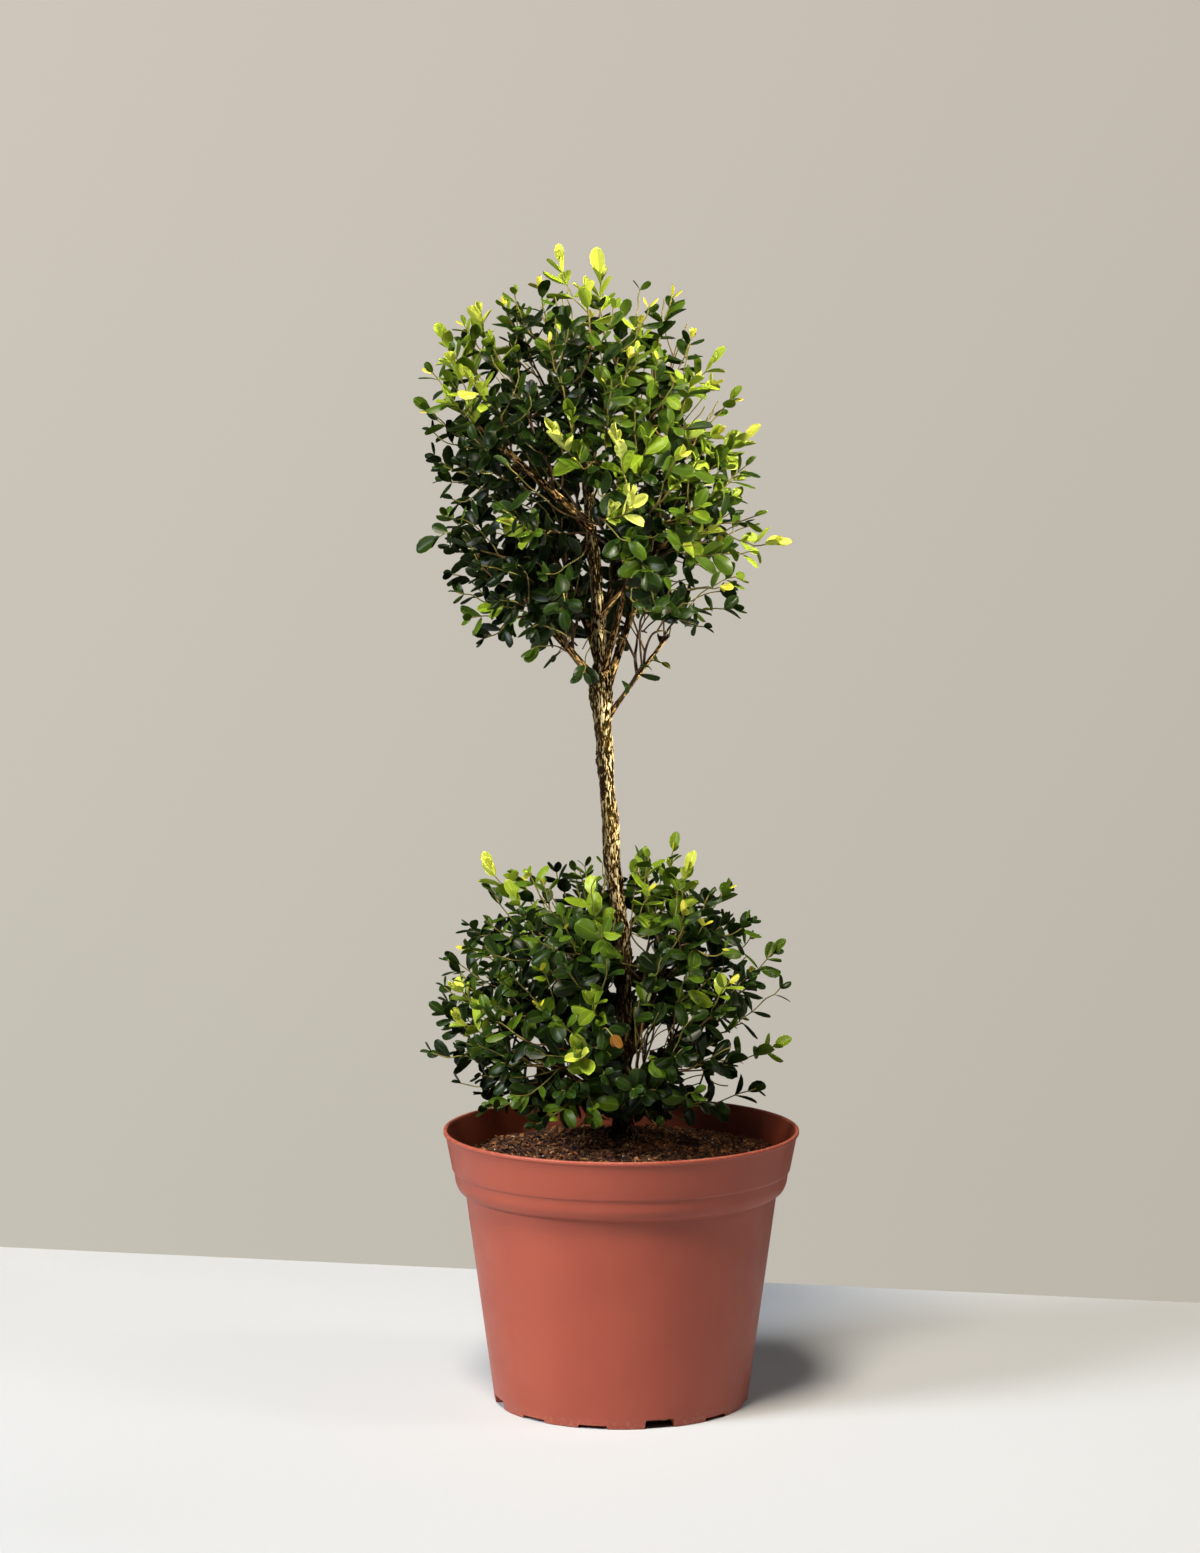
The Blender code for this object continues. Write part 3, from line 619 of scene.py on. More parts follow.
def soil_body():
    outline = list(SOIL_BELOW)
    first_top = 1 + SOIL_SIDES * (len(outline) - 1)
    outline += [(SOIL_TOP_RADIUS * (1 - k / SOIL_RINGS), SOIL_EDGE_HEIGHT) for k in range(SOIL_RINGS)]
    outline.append((0, SOIL_MIDDLE_HEIGHT))
    points, faces = turned(outline, SOIL_SIDES)
    for i in range(first_top, len(points)):
        x, y, _ = points[i]
        points[i] = (x, y, soil_height(x, y) + crumbs(x, y) - CRUMBS_SINK)
    return points, faces


soil = plain_mesh("soil_bed", *soil_body())
soil.data.shade_smooth()
print(f"soil {soil.dimensions.x / MM:.0f} mm wide")

# %% [markdown]
# Its colour comes from a pattern of small cells, each a crumb with one brown from nearly black to pale bark,
# and from larger patches where the mix is damp and darker.

# %% Give the soil its colour
CRUMB_WIDTH = 2.1
CRUMB_COLOURS = (
    (0.0, (0.010, 0.006, 0.005)),
    (0.42, (0.026, 0.012, 0.007)),
    (0.64, (0.080, 0.032, 0.014)),
    (0.82, (0.24, 0.095, 0.036)),
    (1.0, (0.46, 0.235, 0.105)),
)
DAMP_SOIL = (0.014, 0.008, 0.006)
DAMP_SHOWS = 0.35


def soil_finish():
    made = new_finish("potting_soil", 0.95, Specular_IOR_Level=0.2)
    tree = made.node_tree
    place = place_on_piece(tree)
    cells = add_node(tree, "ShaderNodeTexVoronoi", place, 1 / (CRUMB_WIDTH * MM), out=1)
    colour = ramp(tree, add_node(tree, "ShaderNodeSeparateColor", cells), *CRUMB_COLOURS)
    damp = stretch(tree, grain(tree, place, 17, 3.0), 0.35, 0.65, 0.0, DAMP_SHOWS)
    connect(made, Base_Color=blend_colours(tree, damp, colour, DAMP_SOIL))
    add_bump(made, grain(tree, place, 0.9, 4.0, 0.7), 0.8, 0.8)
    return made


soil.data.materials.append(soil_finish())
keep_piece(soil, "soil", "soil")

# %% [markdown]
# ## Recipes in Geometry Nodes
# Chips, bark, twigs and leaves all repeat a shape or follow a path, which is what Geometry Nodes are for. A
# recipe is one tree with named inputs. It is run on a helper object, its result is taken as a plain mesh,
# and the helper and its modifier are thrown away, so that nothing live is left in the scene.

# %% A helper that builds and runs a recipe


class Recipe:
    """A Geometry Nodes tree with named inputs."""

    def __init__(self, name):
        self.tree = bpy.data.node_groups.new(name, "GeometryNodeTree")
        for way in ("INPUT", "OUTPUT"):
            self.tree.interface.new_socket("Geometry", in_out=way, socket_type="NodeSocketGeometry")
        self.entry = self.tree.nodes.new("NodeGroupInput")
        self.exit = self.tree.nodes.new("NodeGroupOutput")
        self.geometry = self.entry.outputs[0]

    def ask(self, name, kind):
        """Adds a named input."""
        self.tree.interface.new_socket(name, in_out="INPUT", socket_type="NodeSocket" + kind)
        return self.entry.outputs[name]

    def add(self, kind, *values, **settings):
        return add_node(self.tree, kind, *values, **settings)

    def read(self, name, kind="FLOAT"):
        return self.add("GeometryNodeInputNamedAttribute", name, data_type=kind)

    def write(self, geometry, name, value, kind="FLOAT"):
        return self.add("GeometryNodeStoreNamedAttribute", geometry, None, name, value, data_type=kind)

    def end(self, geometry):
        self.tree.links.new(geometry, self.exit.inputs[0])

    def end_in_finish(self, geometry, finish):
        """Makes every copy real, gives all of it one finish and ends the tree."""
        real = self.add("GeometryNodeRealizeInstances", geometry)
        self.end(self.add("GeometryNodeSetMaterial", real, None, finish))

    def run(self, name, helper, inputs):
        """Runs the recipe on a helper object and returns the result as a plain object."""
        modifier = helper.modifiers.new(name, "NODES")
        modifier.node_group = self.tree
        for item in self.tree.interface.items_tree:
            if item.in_out == "INPUT" and item.name in inputs:
                modifier[item.identifier] = inputs[item.name]
        mesh = evaluated_mesh(helper)
        helper.modifiers.remove(modifier)
        mesh.name = name
        made = bpy.data.objects.new(name, mesh)
        bpy.context.scene.collection.objects.link(made)
        return made


print("recipes can be built")

# %% [markdown]
# ## Loose bits on the soil
# Chips of bark, crumbs, perlite and fibres lie on the surface at random. Points are scattered over a copy
# of the soil's top, and one of a few small blanks is put on each, turned and scaled at random from a fixed
# seed.

# %% Cut the blanks for the bits


def blank(name, points, faces, group):
    """A small shape about one unit long that a recipe repeats. It is scaled when it is used."""
    mesh = bpy.data.meshes.new(name)
    mesh.from_pydata(points, [], faces)
    made = bpy.data.objects.new(name, mesh)
    group.objects.link(made)
    return made


def chip_blank(group, name, width, thickness, dice):
    """A splinter of bark: a flake with a crooked edge, smaller below than above."""
    sides = 6
    rim = []
    for k in range(sides):
        angle = 2 * math.pi / sides * k + dice.uniform(-0.3, 0.3)
        reach = dice.uniform(0.75, 1.1) / 2
        rim.append((reach * math.cos(angle), reach * math.sin(angle) * width))
    points = [(x * 0.9, y * 0.9, -thickness / 2) for x, y in rim]
    points += [(x, y, thickness / 2 * dice.uniform(0.6, 1.4)) for x, y in rim]
    faces = [tuple(reversed(range(sides))), tuple(range(sides, 2 * sides))]
    faces += [(k, (k + 1) % sides, (k + 1) % sides + sides, k + sides) for k in range(sides)]
    blank(name, points, faces, group)


def strand_blank(group, name, curl):
    """A thin fibre, bent in an arc and thinner at its ends."""
    rings, sides = 6, 3
    points, faces = [], []
    for i in range(rings):
        t = i / (rings - 1) - 0.5
        thick = 0.035 * (1 - (2 * t) ** 4 * 0.7)
        for k in range(sides):
            angle = 2 * math.pi * k / sides
            across = curl * (0.25 - t * t) + thick * math.cos(angle)
            points.append((t, across, thick * math.sin(angle) + 0.3 * curl * t * t))
    for i in range(rings - 1):
        for k in range(sides):
            low, high, n = sides * i, sides * (i + 1), (k + 1) % sides
            faces.append((low + k, low + n, high + n, high + k))
    last = sides * (rings - 1)
    faces += [tuple(reversed(range(sides))), tuple(range(last, last + sides))]
    blank(name, points, faces, group)


def new_group(name):
    group = bpy.data.collections.new(name)
    bpy.context.scene.collection.children.link(group)
    return group


chip_dice = random.Random(5)
chips = new_group("chips")
for width, thickness in ((0.4, 0.16), (0.62, 0.2), (0.85, 0.3)):
    chip_blank(chips, f"chip_{width}", width, thickness, chip_dice)
grains = new_group("grains")
for k in range(3):
    chip_blank(grains, f"grain_{k}", 0.9, 0.8, chip_dice)
strands = new_group("strands")
for curl in (0.25, -0.5, 0.9):
    strand_blank(strands, f"strand_{curl}", curl)

# %% Write the recipe that scatters them


def scatter_recipe():
    made = Recipe("scatter on soil")
    group = made.ask("Blanks", "Collection")
    density = made.ask("Bits per square metre", "Float")
    smallest, largest, tilt = (made.ask(name, "Float") for name in ("Smallest", "Largest", "Tilt"))
    seed = made.ask("Seed", "Int")
    finish = made.ask("Finish", "Material")
    points = made.add("GeometryNodeDistributePointsOnFaces", made.geometry, None, density, seed)
    other_way = calculate(made.tree, "MULTIPLY", tilt, -1.0)
    least = made.add("ShaderNodeCombineXYZ", other_way, other_way, 0.0)
    most = made.add("ShaderNodeCombineXYZ", tilt, tilt, 2 * math.pi)
    euler = made.add("FunctionNodeRandomValue", least, most, None, seed, data_type="FLOAT_VECTOR")
    turn = made.add("FunctionNodeEulerToRotation", euler)
    pick = made.add("FunctionNodeRandomValue", 0, 2, None, seed, data_type="INT")
    size = made.add("FunctionNodeRandomValue", smallest, largest, None, seed, data_type="FLOAT")
    blanks = made.add("GeometryNodeCollectionInfo", group, True, True)
    placed = made.add("GeometryNodeInstanceOnPoints", points, None, blanks, True, pick, turn, size)
    made.end_in_finish(placed, finish)
    return made


scatter = scatter_recipe()
print(f"scatter recipe of {len(scatter.tree.nodes)} nodes")

# %% Scatter the bits
SKIN_RADII = (9.0, 112.0)  # from the trunk's foot to near the pot's wall
SKIN_SINK = 0.3  # half the crumbs' own, so that the bits lie on them
SKIN_RINGS, SKIN_SIDES = 30, 90
WOOD_GRAIN = 5.0
FIRST_BITS_SEED = 11  # each kind of bit takes the next one


def soil_skin():
    """The top of the soil as an open sheet, which only carries the points."""
    points, faces = [], []
    inner, outer = SKIN_RADII
    for i in range(SKIN_RINGS + 1):
        for k in range(SKIN_SIDES):
            angle = 2 * math.pi * k / SKIN_SIDES
            radius = inner + (outer - inner) * i / SKIN_RINGS
            x, y = radius * math.cos(angle), radius * math.sin(angle)
            points.append((x, y, soil_height(x, y) + crumbs(x, y) - SKIN_SINK))
    for low in range(0, SKIN_RINGS * SKIN_SIDES, SKIN_SIDES):
        high = low + SKIN_SIDES
        for k in range(SKIN_SIDES):
            n = (k + 1) % SKIN_SIDES
            faces.append((low + k, high + k, high + n, low + n))
    return points, faces


def woody_finish(name, dark, light):
    made = new_finish(name, 0.85, Specular_IOR_Level=0.25)
    tree = made.node_tree
    share = stretch(tree, grain(tree, place_on_piece(tree), WOOD_GRAIN, 3.0), 0.35, 0.65)
    connect(made, Base_Color=blend_colours(tree, share, dark, light))
    return made


# The blanks, how many to a square metre, the smallest and the largest, how far they tilt, and two colours.
BITS = {
    "soil_crumbs": (grains, 45000, 1.2, 3.0, 1.5, (0.018, 0.009, 0.006), (0.085, 0.034, 0.018)),
    "soil_brown_chips": (chips, 26000, 2.0, 6.5, 0.7, (0.060, 0.022, 0.010), (0.19, 0.070, 0.026)),
    "soil_orange_chips": (chips, 19000, 1.6, 5.5, 0.7, (0.24, 0.085, 0.024), (0.50, 0.215, 0.070)),
    "soil_fibres": (strands, 9000, 4.5, 13.0, 0.5, (0.13, 0.060, 0.022), (0.42, 0.24, 0.10)),
    "soil_perlite": (grains, 2600, 0.8, 1.9, 1.5, (0.52, 0.45, 0.36), (0.75, 0.70, 0.62)),
}
skin = plain_mesh("soil_skin", *soil_skin())
for seed, (name, values) in enumerate(BITS.items(), FIRST_BITS_SEED):
    group, density, smallest, largest, tilt, dark, light = values
    inputs = {
        "Blanks": group,
        "Bits per square metre": float(density),
        "Smallest": smallest * MM,
        "Largest": largest * MM,
        "Tilt": tilt,
        "Seed": seed,
        "Finish": woody_finish(name, dark, light),
    }
    keep_piece(scatter.run(name, skin, inputs), "soil", "soil")
bpy.data.objects.remove(skin)

# %% [markdown]
# ## Where the limbs run
# The trunk leans and wavers a little, flares at its foot and forks low in the upper ball. The tables repeat
# the solid model's: height, lean and radius along the trunk, and for each bough the height where it leaves,
# its tip, how far it bows, and its radii. The bark pieces follow the same lines, drawn smoother.

# %% Repeat the limbs' tables
TRUNK_STATIONS = (  # height, how far to the right, radius
    (186.0, 2.0, 10.5),
    (190.0, 1.8, 8.6),
    (200.0, 1.4, 6.9),
    (240.0, 0.8, 6.0),
    (285.0, 2.0, 5.9),
    (320.0, 1.6, 5.8),
    (362.0, -4.4, 5.7),
    (400.0, -7.4, 6.0),
    (440.0, -10.2, 5.9),
    (475.0, -12.8, 6.4),
    (500.0, -14.2, 7.7),
    (511.0, -14.4, 7.2),
    (526.0, -14.6, 5.4),
    (565.0, -17.0, 4.8),
    (592.0, -19.0, 4.6),
    (620.0, -21.6, 4.3),
    (652.0, -23.4, 3.6),
    (684.0, -24.0, 2.6),
)
BOUGHS = {  # height of the foot, tip, bow, radius at the foot and at the tip
    "bough_high_left": (614, (-86, -22, 674), -4, 3.6, 2.3),
    "bough_low_left": (502, (-66, -26, 566), -4, 3.5, 2.2),
    "bough_front": (506, (10, -40, 612), 3, 2.8, 2.0),
    "bough_high_right": (496, (36, 16, 676), 9, 3.2, 2.0),
    "bough_right": (552, (36, -22, 612), -5, 2.6, 1.9),
    "bough_low_right": (477, (33, -10, 541), -3, 1.9, 1.5),
    "bough_back_left": (520, (-52, 42, 602), -8, 3.0, 2.0),
    "bough_back_right": (542, (8, 48, 612), -6, 2.8, 2.0),
    "low_bough_left": (203, (-52, -6, 244), -6, 2.8, 1.9),
    "low_bough_front_left": (213, (-30, -42, 240), -6, 2.8, 1.9),
    "low_bough_front_right": (201, (26, -42, 238), -6, 2.8, 1.9),
    "low_bough_right": (211, (48, -6, 254), -8, 3.0, 1.9),
    "low_bough_back_right": (208, (32, 42, 242), -6, 2.8, 1.9),
    "low_bough_back_left": (204, (-34, 42, 240), -6, 2.8, 1.9),
    "low_bough_inner_left": (226, (-26, -4, 292), -4, 2.6, 1.8),
    "low_bough_inner_right": (222, (26, 4, 294), -4, 2.6, 1.8),
}
BOW_OUT = 1.6  # how much further a bough bows outwards than up


def trunk_point(height):
    """The trunk's middle line and radius at a height."""
    for (z0, x0, r0), (z1, x1, r1) in zip(TRUNK_STATIONS, TRUNK_STATIONS[1:]):
        if height <= z1:
            t = (height - z0) / (z1 - z0)
            return Vector((x0 + (x1 - x0) * t, 0, height)), r0 + (r1 - r0) * t
    raise ValueError(f"the trunk ends below {height} mm")


def bough_path(name, steps):
    """A bough's middle line, from inside the trunk to its tip."""
    height, tip, bow, _, _ = BOUGHS[name]
    start, end = trunk_point(height)[0], Vector(tip)
    out = Vector((end.x - start.x, end.y - start.y, 0)).normalized()
    control = (start + end) / 2 + out * bow * BOW_OUT + Vector((0, 0, bow))
    return bend(start, control, end, steps)


def through(a, b, c, d, t):
    """One number of a smooth line through a, b, c and d, the share t on the way from b to c."""
    return 0.5 * (2 * b + (c - a) * t + (2 * a - 5 * b + 4 * c - d) * t**2 + (3 * b - a - 3 * c + d) * t**3)


def smoothed(points, pieces):
    """A smooth line through points, each a tuple of numbers, as so many pieces between two of them."""
    found = []
    for i in range(len(points) - 1):
        p0, p1, p2 = points[max(i - 1, 0)], points[i], points[i + 1]
        p3 = points[min(i + 2, len(points) - 1)]
        for k in range(pieces):
            found.append(tuple(through(*values, k / pieces) for values in zip(p0, p1, p2, p3)))
    return found + [tuple(points[-1])]


print(f"{len(BOUGHS)} boughs on the trunk")

# %% [markdown]
# ## Bark
# Old boxwood bark is corky. It splits lengthwise and across into small plates with dark cracks between
# them. A tube is swept along each limb, its skin is pushed out by a pattern of cells, so the plates are real
# relief, and the depth of each point is kept for the colour. The pattern is laid out along and around the
# limb, so the plates follow it round every bend.

# %% Helpers that sweep tubes


def lines_mesh(name, lines):
    """Middle lines as a mesh of edges. Each line is a list of (x, y, z, radius). Every point keeps its girth,
    how far along its line it is, and the number of its own line."""
    points, edges, girths, alongs, owns = [], [], [], [], []
    for own, line in enumerate(lines):
        run = 0.0
        for i, (x, y, z, radius) in enumerate(line):
            if i:
                edges.append((len(points) - 1, len(points)))
                run += (Vector((x, y, z)) - Vector(line[i - 1][:3])).length
            points.append((x, y, z))
            girths.append(radius * MM)
            alongs.append(run * MM)
            owns.append(float(own))
    made = plain_mesh(name, points, [], edges)
    store(made, "girth", "FLOAT", girths)
    store(made, "along", "FLOAT", alongs)
    store(made, "own", "FLOAT", owns)
    return made


def swept_tube(made, sides, step, marked=False):
    """A recipe's lines as tubes of their own girth. A marked one keeps how far round each point is."""
    line = made.add("GeometryNodeMeshToCurve", made.geometry)
    line = made.add("GeometryNodeResampleCurve", line, None, step, mode="LENGTH")
    ring = made.add("GeometryNodeCurvePrimitiveCircle", sides, 1.0)
    if marked:
        ring = made.write(ring, "round", made.add("GeometryNodeSplineParameter"))
    return made.add("GeometryNodeCurveToMesh", line, ring, made.read("girth"), True)


print("helpers for tubes are ready")

# %% Write the bark recipe
CRACK_WIDTH = 0.34  # of a plate
WARP_GRAIN, ROUGH_GRAIN, SWELL_GRAIN = 0.6, 2.0, 0.28  # lumps of each noise in one plate
PLATE_RISE = 0.35  # of the depth, as the next two are
ROUGH_RISE = (2.0, -1.2)  # times the noise, and then added
SWELL_RISE = (3.8, -2.1)
LIMB_SHIFT = 0.37  # moves the pattern on from limb to limb, so that no two look the same
ROOTS = 5.0
ROOT_HEIGHT = 14.0
SHADED_SIDE = Vector((-0.94, -0.34, 0.0))  # the way that the side painted darker faces, as painted shade


def place_on_bark(made, angle, plate, stretch_along, seed):
    """Where a point is on its limb, so that the plates run along it, a little warped."""
    tree, girth = made.tree, made.read("girth")
    across = calculate(tree, "MULTIPLY", calculate(tree, "COSINE", angle), girth)
    deep = calculate(tree, "MULTIPLY", calculate(tree, "SINE", angle), girth)
    shift = calculate(tree, "MULTIPLY_ADD", made.read("own"), LIMB_SHIFT, seed)
    height = calculate(tree, "ADD", calculate(tree, "DIVIDE", made.read("along"), stretch_along), shift)
    spot = made.add("ShaderNodeCombineXYZ", across, deep, height)
    warp = made.add("ShaderNodeTexNoise", spot, calculate(tree, "DIVIDE", WARP_GRAIN, plate), out=1)
    warp = calculate_vector(tree, "SUBTRACT", warp, (0.5, 0.5, 0.5))
    return calculate_vector(tree, "ADD", spot, calculate_vector(tree, "SCALE", warp, plate))


def root_lobes(made, angle, lobes):
    """How far the lobes of the roots stand out from the trunk's foot."""
    tree = made.tree
    fade = calculate(tree, "MULTIPLY_ADD", made.read("along"), -1 / (ROOT_HEIGHT * MM), 1.0)
    wave = calculate(tree, "COSINE", calculate(tree, "MULTIPLY", angle, ROOTS))
    wave = calculate(tree, "MULTIPLY", wave, calculate(tree, "MAXIMUM", 0.0, fade))
    return calculate(tree, "MULTIPLY", wave, calculate(tree, "MULTIPLY", made.read("girth"), lobes))


def bark_recipe():
    made = Recipe("corky bark")
    tree = made.tree
    sides = made.ask("Sides", "Int")
    step, plate, stretch_along = (made.ask(name, "Float") for name in ("Step", "Plate size", "Plate stretch"))
    depth, lobes, seed = (made.ask(name, "Float") for name in ("Depth", "Root lobes", "Seed"))
    finish = made.ask("Finish", "Material")
    tube = swept_tube(made, sides, step, marked=True)
    angle = calculate(tree, "MULTIPLY", made.read("round"), 2 * math.pi)
    spot = place_on_bark(made, angle, plate, stretch_along, seed)
    scale = calculate(tree, "DIVIDE", 1.0, plate)
    cracks = made.add("ShaderNodeTexVoronoi", spot, scale, feature="DISTANCE_TO_EDGE")
    plates = stretch(tree, cracks, 0.0, CRACK_WIDTH)
    rough = made.add("ShaderNodeTexNoise", spot, calculate(tree, "MULTIPLY", scale, ROUGH_GRAIN), 4.0, 0.65)
    swell = made.add("ShaderNodeTexNoise", spot, calculate(tree, "MULTIPLY", scale, SWELL_GRAIN))
    rough = calculate(tree, "MULTIPLY_ADD", rough, *ROUGH_RISE)
    relief = calculate(tree, "MULTIPLY_ADD", plates, PLATE_RISE, rough)
    bulge = calculate(tree, "MULTIPLY_ADD", swell, *SWELL_RISE)
    push = calculate(tree, "ADD", relief, bulge)
    push = calculate(tree, "MULTIPLY_ADD", push, depth, root_lobes(made, angle, lobes))
    normal = made.add("GeometryNodeInputNormal")
    to_shaded_side = calculate_vector(tree, "DOT_PRODUCT", normal, SHADED_SIDE)
    tube = made.write(tube, "relief", stretch(tree, relief, -0.5, 0.5))
    # How far each point faces left, which the finish paints darker as painted shade.
    tube = made.write(tube, "left_share", stretch(tree, to_shaded_side, -0.1, 0.75))
    tube = made.write(tube, "bark_place", spot, "FLOAT_VECTOR")
    offset = calculate_vector(tree, "SCALE", normal, push)
    tube = made.add("GeometryNodeSetPosition", tube, None, None, offset)
    made.end_in_finish(made.add("GeometryNodeSetShadeSmooth", tube), finish)
    return made


bark_rule = bark_recipe()
print(f"bark recipe of {len(bark_rule.tree.nodes)} nodes")

# %% [markdown]
# The bark's colour follows its relief: nearly black in the cracks, brown on the slopes and a dry yellow tan
# on the plates, with a green film of algae in places. The black of the cracks is partly painted shade, and the
# palest tan on the crests is partly a painted highlight. The boughs are younger, smoother and more orange.
# Inside the lower ball the bark is painted almost black, as painted shade, and the side that faces left is
# painted darker all the way up, also as painted shade.

# %% Mix the bark finishes
LOW_BALL_SHADE_HEIGHTS = (358.0, 310.0)  # heights between which the painted shade inside the lower ball begins and is full
# How dark the painted shade is inside the lower ball, and on the side that faces left.
LOW_BALL_SHADE = 0.8
LEFT_SIDE_SHADE = 0.85
BARK_LEVELS = (0.40, 0.48, 0.57, 0.64)  # of the crack, partly painted shade, the slope, the plate and its crest, partly a painted highlight
STREAKS = (2.4, -1.2)  # times the noise, and then added


def bark_finish(name, crack_and_shade, slope, plate, crest_and_highlight, film, film_share, streak_width):
    made = new_finish(name, 0.9, Specular_IOR_Level=0.06)
    tree = made.node_tree
    relief = add_node(tree, "ShaderNodeAttribute", attribute_name="relief", out=2)
    spot = add_node(tree, "ShaderNodeAttribute", attribute_name="bark_place", out=1)
    streaks = calculate(tree, "MULTIPLY_ADD", grain(tree, spot, streak_width, 3.0, 0.6), *STREAKS)
    height = calculate(tree, "ADD", relief, streaks)
    place = place_on_piece(tree)
    drift = stretch(tree, grain(tree, place, 9, 2.0), 0.3, 0.7, -0.14, 0.14)
    height = calculate(tree, "ADD", height, drift)
    # Near black in the cracks is partly painted shade, and the pale crests are partly a painted highlight.
    colour = ramp(tree, height, *zip(BARK_LEVELS, (crack_and_shade, slope, plate, crest_and_highlight)))
    patches = stretch(tree, grain(tree, place, 26, 3.0), 0.46, 0.62, 0.0, film_share)
    colour = blend_colours(tree, patches, colour, film)
    # The side that faces left is painted darker, as painted shade.
    left_share = add_node(tree, "ShaderNodeAttribute", attribute_name="left_share", out=2)
    painted_left_shade = calculate(tree, "MULTIPLY", left_share, LEFT_SIDE_SHADE)
    colour = blend_colours(tree, painted_left_shade, colour, crack_and_shade)
    # Inside the lower ball the bark is painted almost black, as painted shade.
    up = add_node(tree, "ShaderNodeSeparateXYZ", place, out=2)
    dry, damp = LOW_BALL_SHADE_HEIGHTS
    low_ball_shade_share = stretch(tree, up, dry * MM, damp * MM, 0.0, LOW_BALL_SHADE)
    connect(made, Base_Color=blend_colours(tree, low_ball_shade_share, colour, crack_and_shade))
    add_bump(made, grain(tree, spot, 0.5, 3.0, 0.7), 0.6, 0.3)
    return made


trunk_finish = bark_finish(
    "corky_bark",
    crack_and_shade=(0.010, 0.005, 0.001),
    slope=(0.120, 0.056, 0.008),
    plate=(0.50, 0.255, 0.048),
    crest_and_highlight=(1.0, 0.84, 0.46),
    film=(0.120, 0.095, 0.012),
    film_share=0.15,
    streak_width=1.25,
)
bough_finish = bark_finish(
    "bough_bark",
    crack_and_shade=(0.014, 0.006, 0.002),
    slope=(0.11, 0.048, 0.014),
    plate=(0.42, 0.215, 0.065),
    crest_and_highlight=(0.80, 0.52, 0.20),
    film=(0.10, 0.095, 0.018),
    film_share=0.3,
    streak_width=1.6,
)
print("two bark finishes are mixed")

# %% Grow the bark on the trunk and the boughs
TRUNK_PIECES = 6  # between two stations
TRUNK_SINK = 1.6  # how far the trunk reaches into the soil, so that no gap shows
BOUGH_STEPS = 16
BOUGH_GIRTH = 0.97  # of the solid's, which leaves room for the relief
COLLAR_LENGTH = 9.0  # how far the swelling at a bough's foot runs
COLLAR_SWELL = 0.45
PLATE_STRETCH = 4.2  # how much longer than wide the plates are
BARK_SEED = 0.03


def trunk_line():
    line = smoothed([(x, 0.0, z, r) for z, x, r in TRUNK_STATIONS], TRUNK_PIECES)
    x, y, z, r = line[0]
    return [(x, y, z - TRUNK_SINK, r)] + line[1:]


def bough_line(name):
    """A bough with a collar where it leaves the trunk."""
    height, _, _, foot_radius, tip_radius = BOUGHS[name]
    path = bough_path(name, BOUGH_STEPS)
    trunk_radius = trunk_point(height)[1]
    line, run = [], 0.0
    for i, point in enumerate(path):
        if i:
            run += (point - path[i - 1]).length
        radius = foot_radius + (tip_radius - foot_radius) * i / BOUGH_STEPS
        out = max(0.0, run - trunk_radius)
        radius *= 1 + COLLAR_SWELL * math.exp(-((out / COLLAR_LENGTH) ** 2))
        line.append((*point, radius * BOUGH_GIRTH))
    return line


def grow_bark(name, lines, finish, sides, step, plate, depth, lobes=0.0):
    helper = lines_mesh("helper", lines)
    inputs = {
        "Sides": sides,
        "Step": step * MM,
        "Plate size": plate * MM,
        "Plate stretch": PLATE_STRETCH,
        "Depth": depth * MM,
        "Root lobes": lobes,
        "Seed": BARK_SEED,
        "Finish": finish,
    }
    made = bark_rule.run(name, helper, inputs)
    bpy.data.objects.remove(helper)
    return made


trunk = grow_bark(
    "trunk_bark", [trunk_line()], trunk_finish, sides=64, step=0.8, plate=1.9, depth=1.6, lobes=0.14
)
keep_piece(trunk, "bark", "trunk")
for name, first in (("crown_bough_bark", "bough_"), ("low_bough_bark", "low_bough_")):
    own = [bough for bough in BOUGHS if bough.startswith(first)]
    lines = [bough_line(bough) for bough in own]
    boughs = grow_bark(name, lines, bough_finish, sides=26, step=1.0, plate=1.7, depth=0.6)
    keep_piece(boughs, "bark", *own)

# %% [markdown]
# ## The balls of leaves
# Each ball is a stack of levels with a reach to the left and to the right, read off the photograph. Inside
# it, the space is shared out among masses of leaves. Each mass has a middle, owns the points that are nearer
# to it than to any other, and grows from one limb.

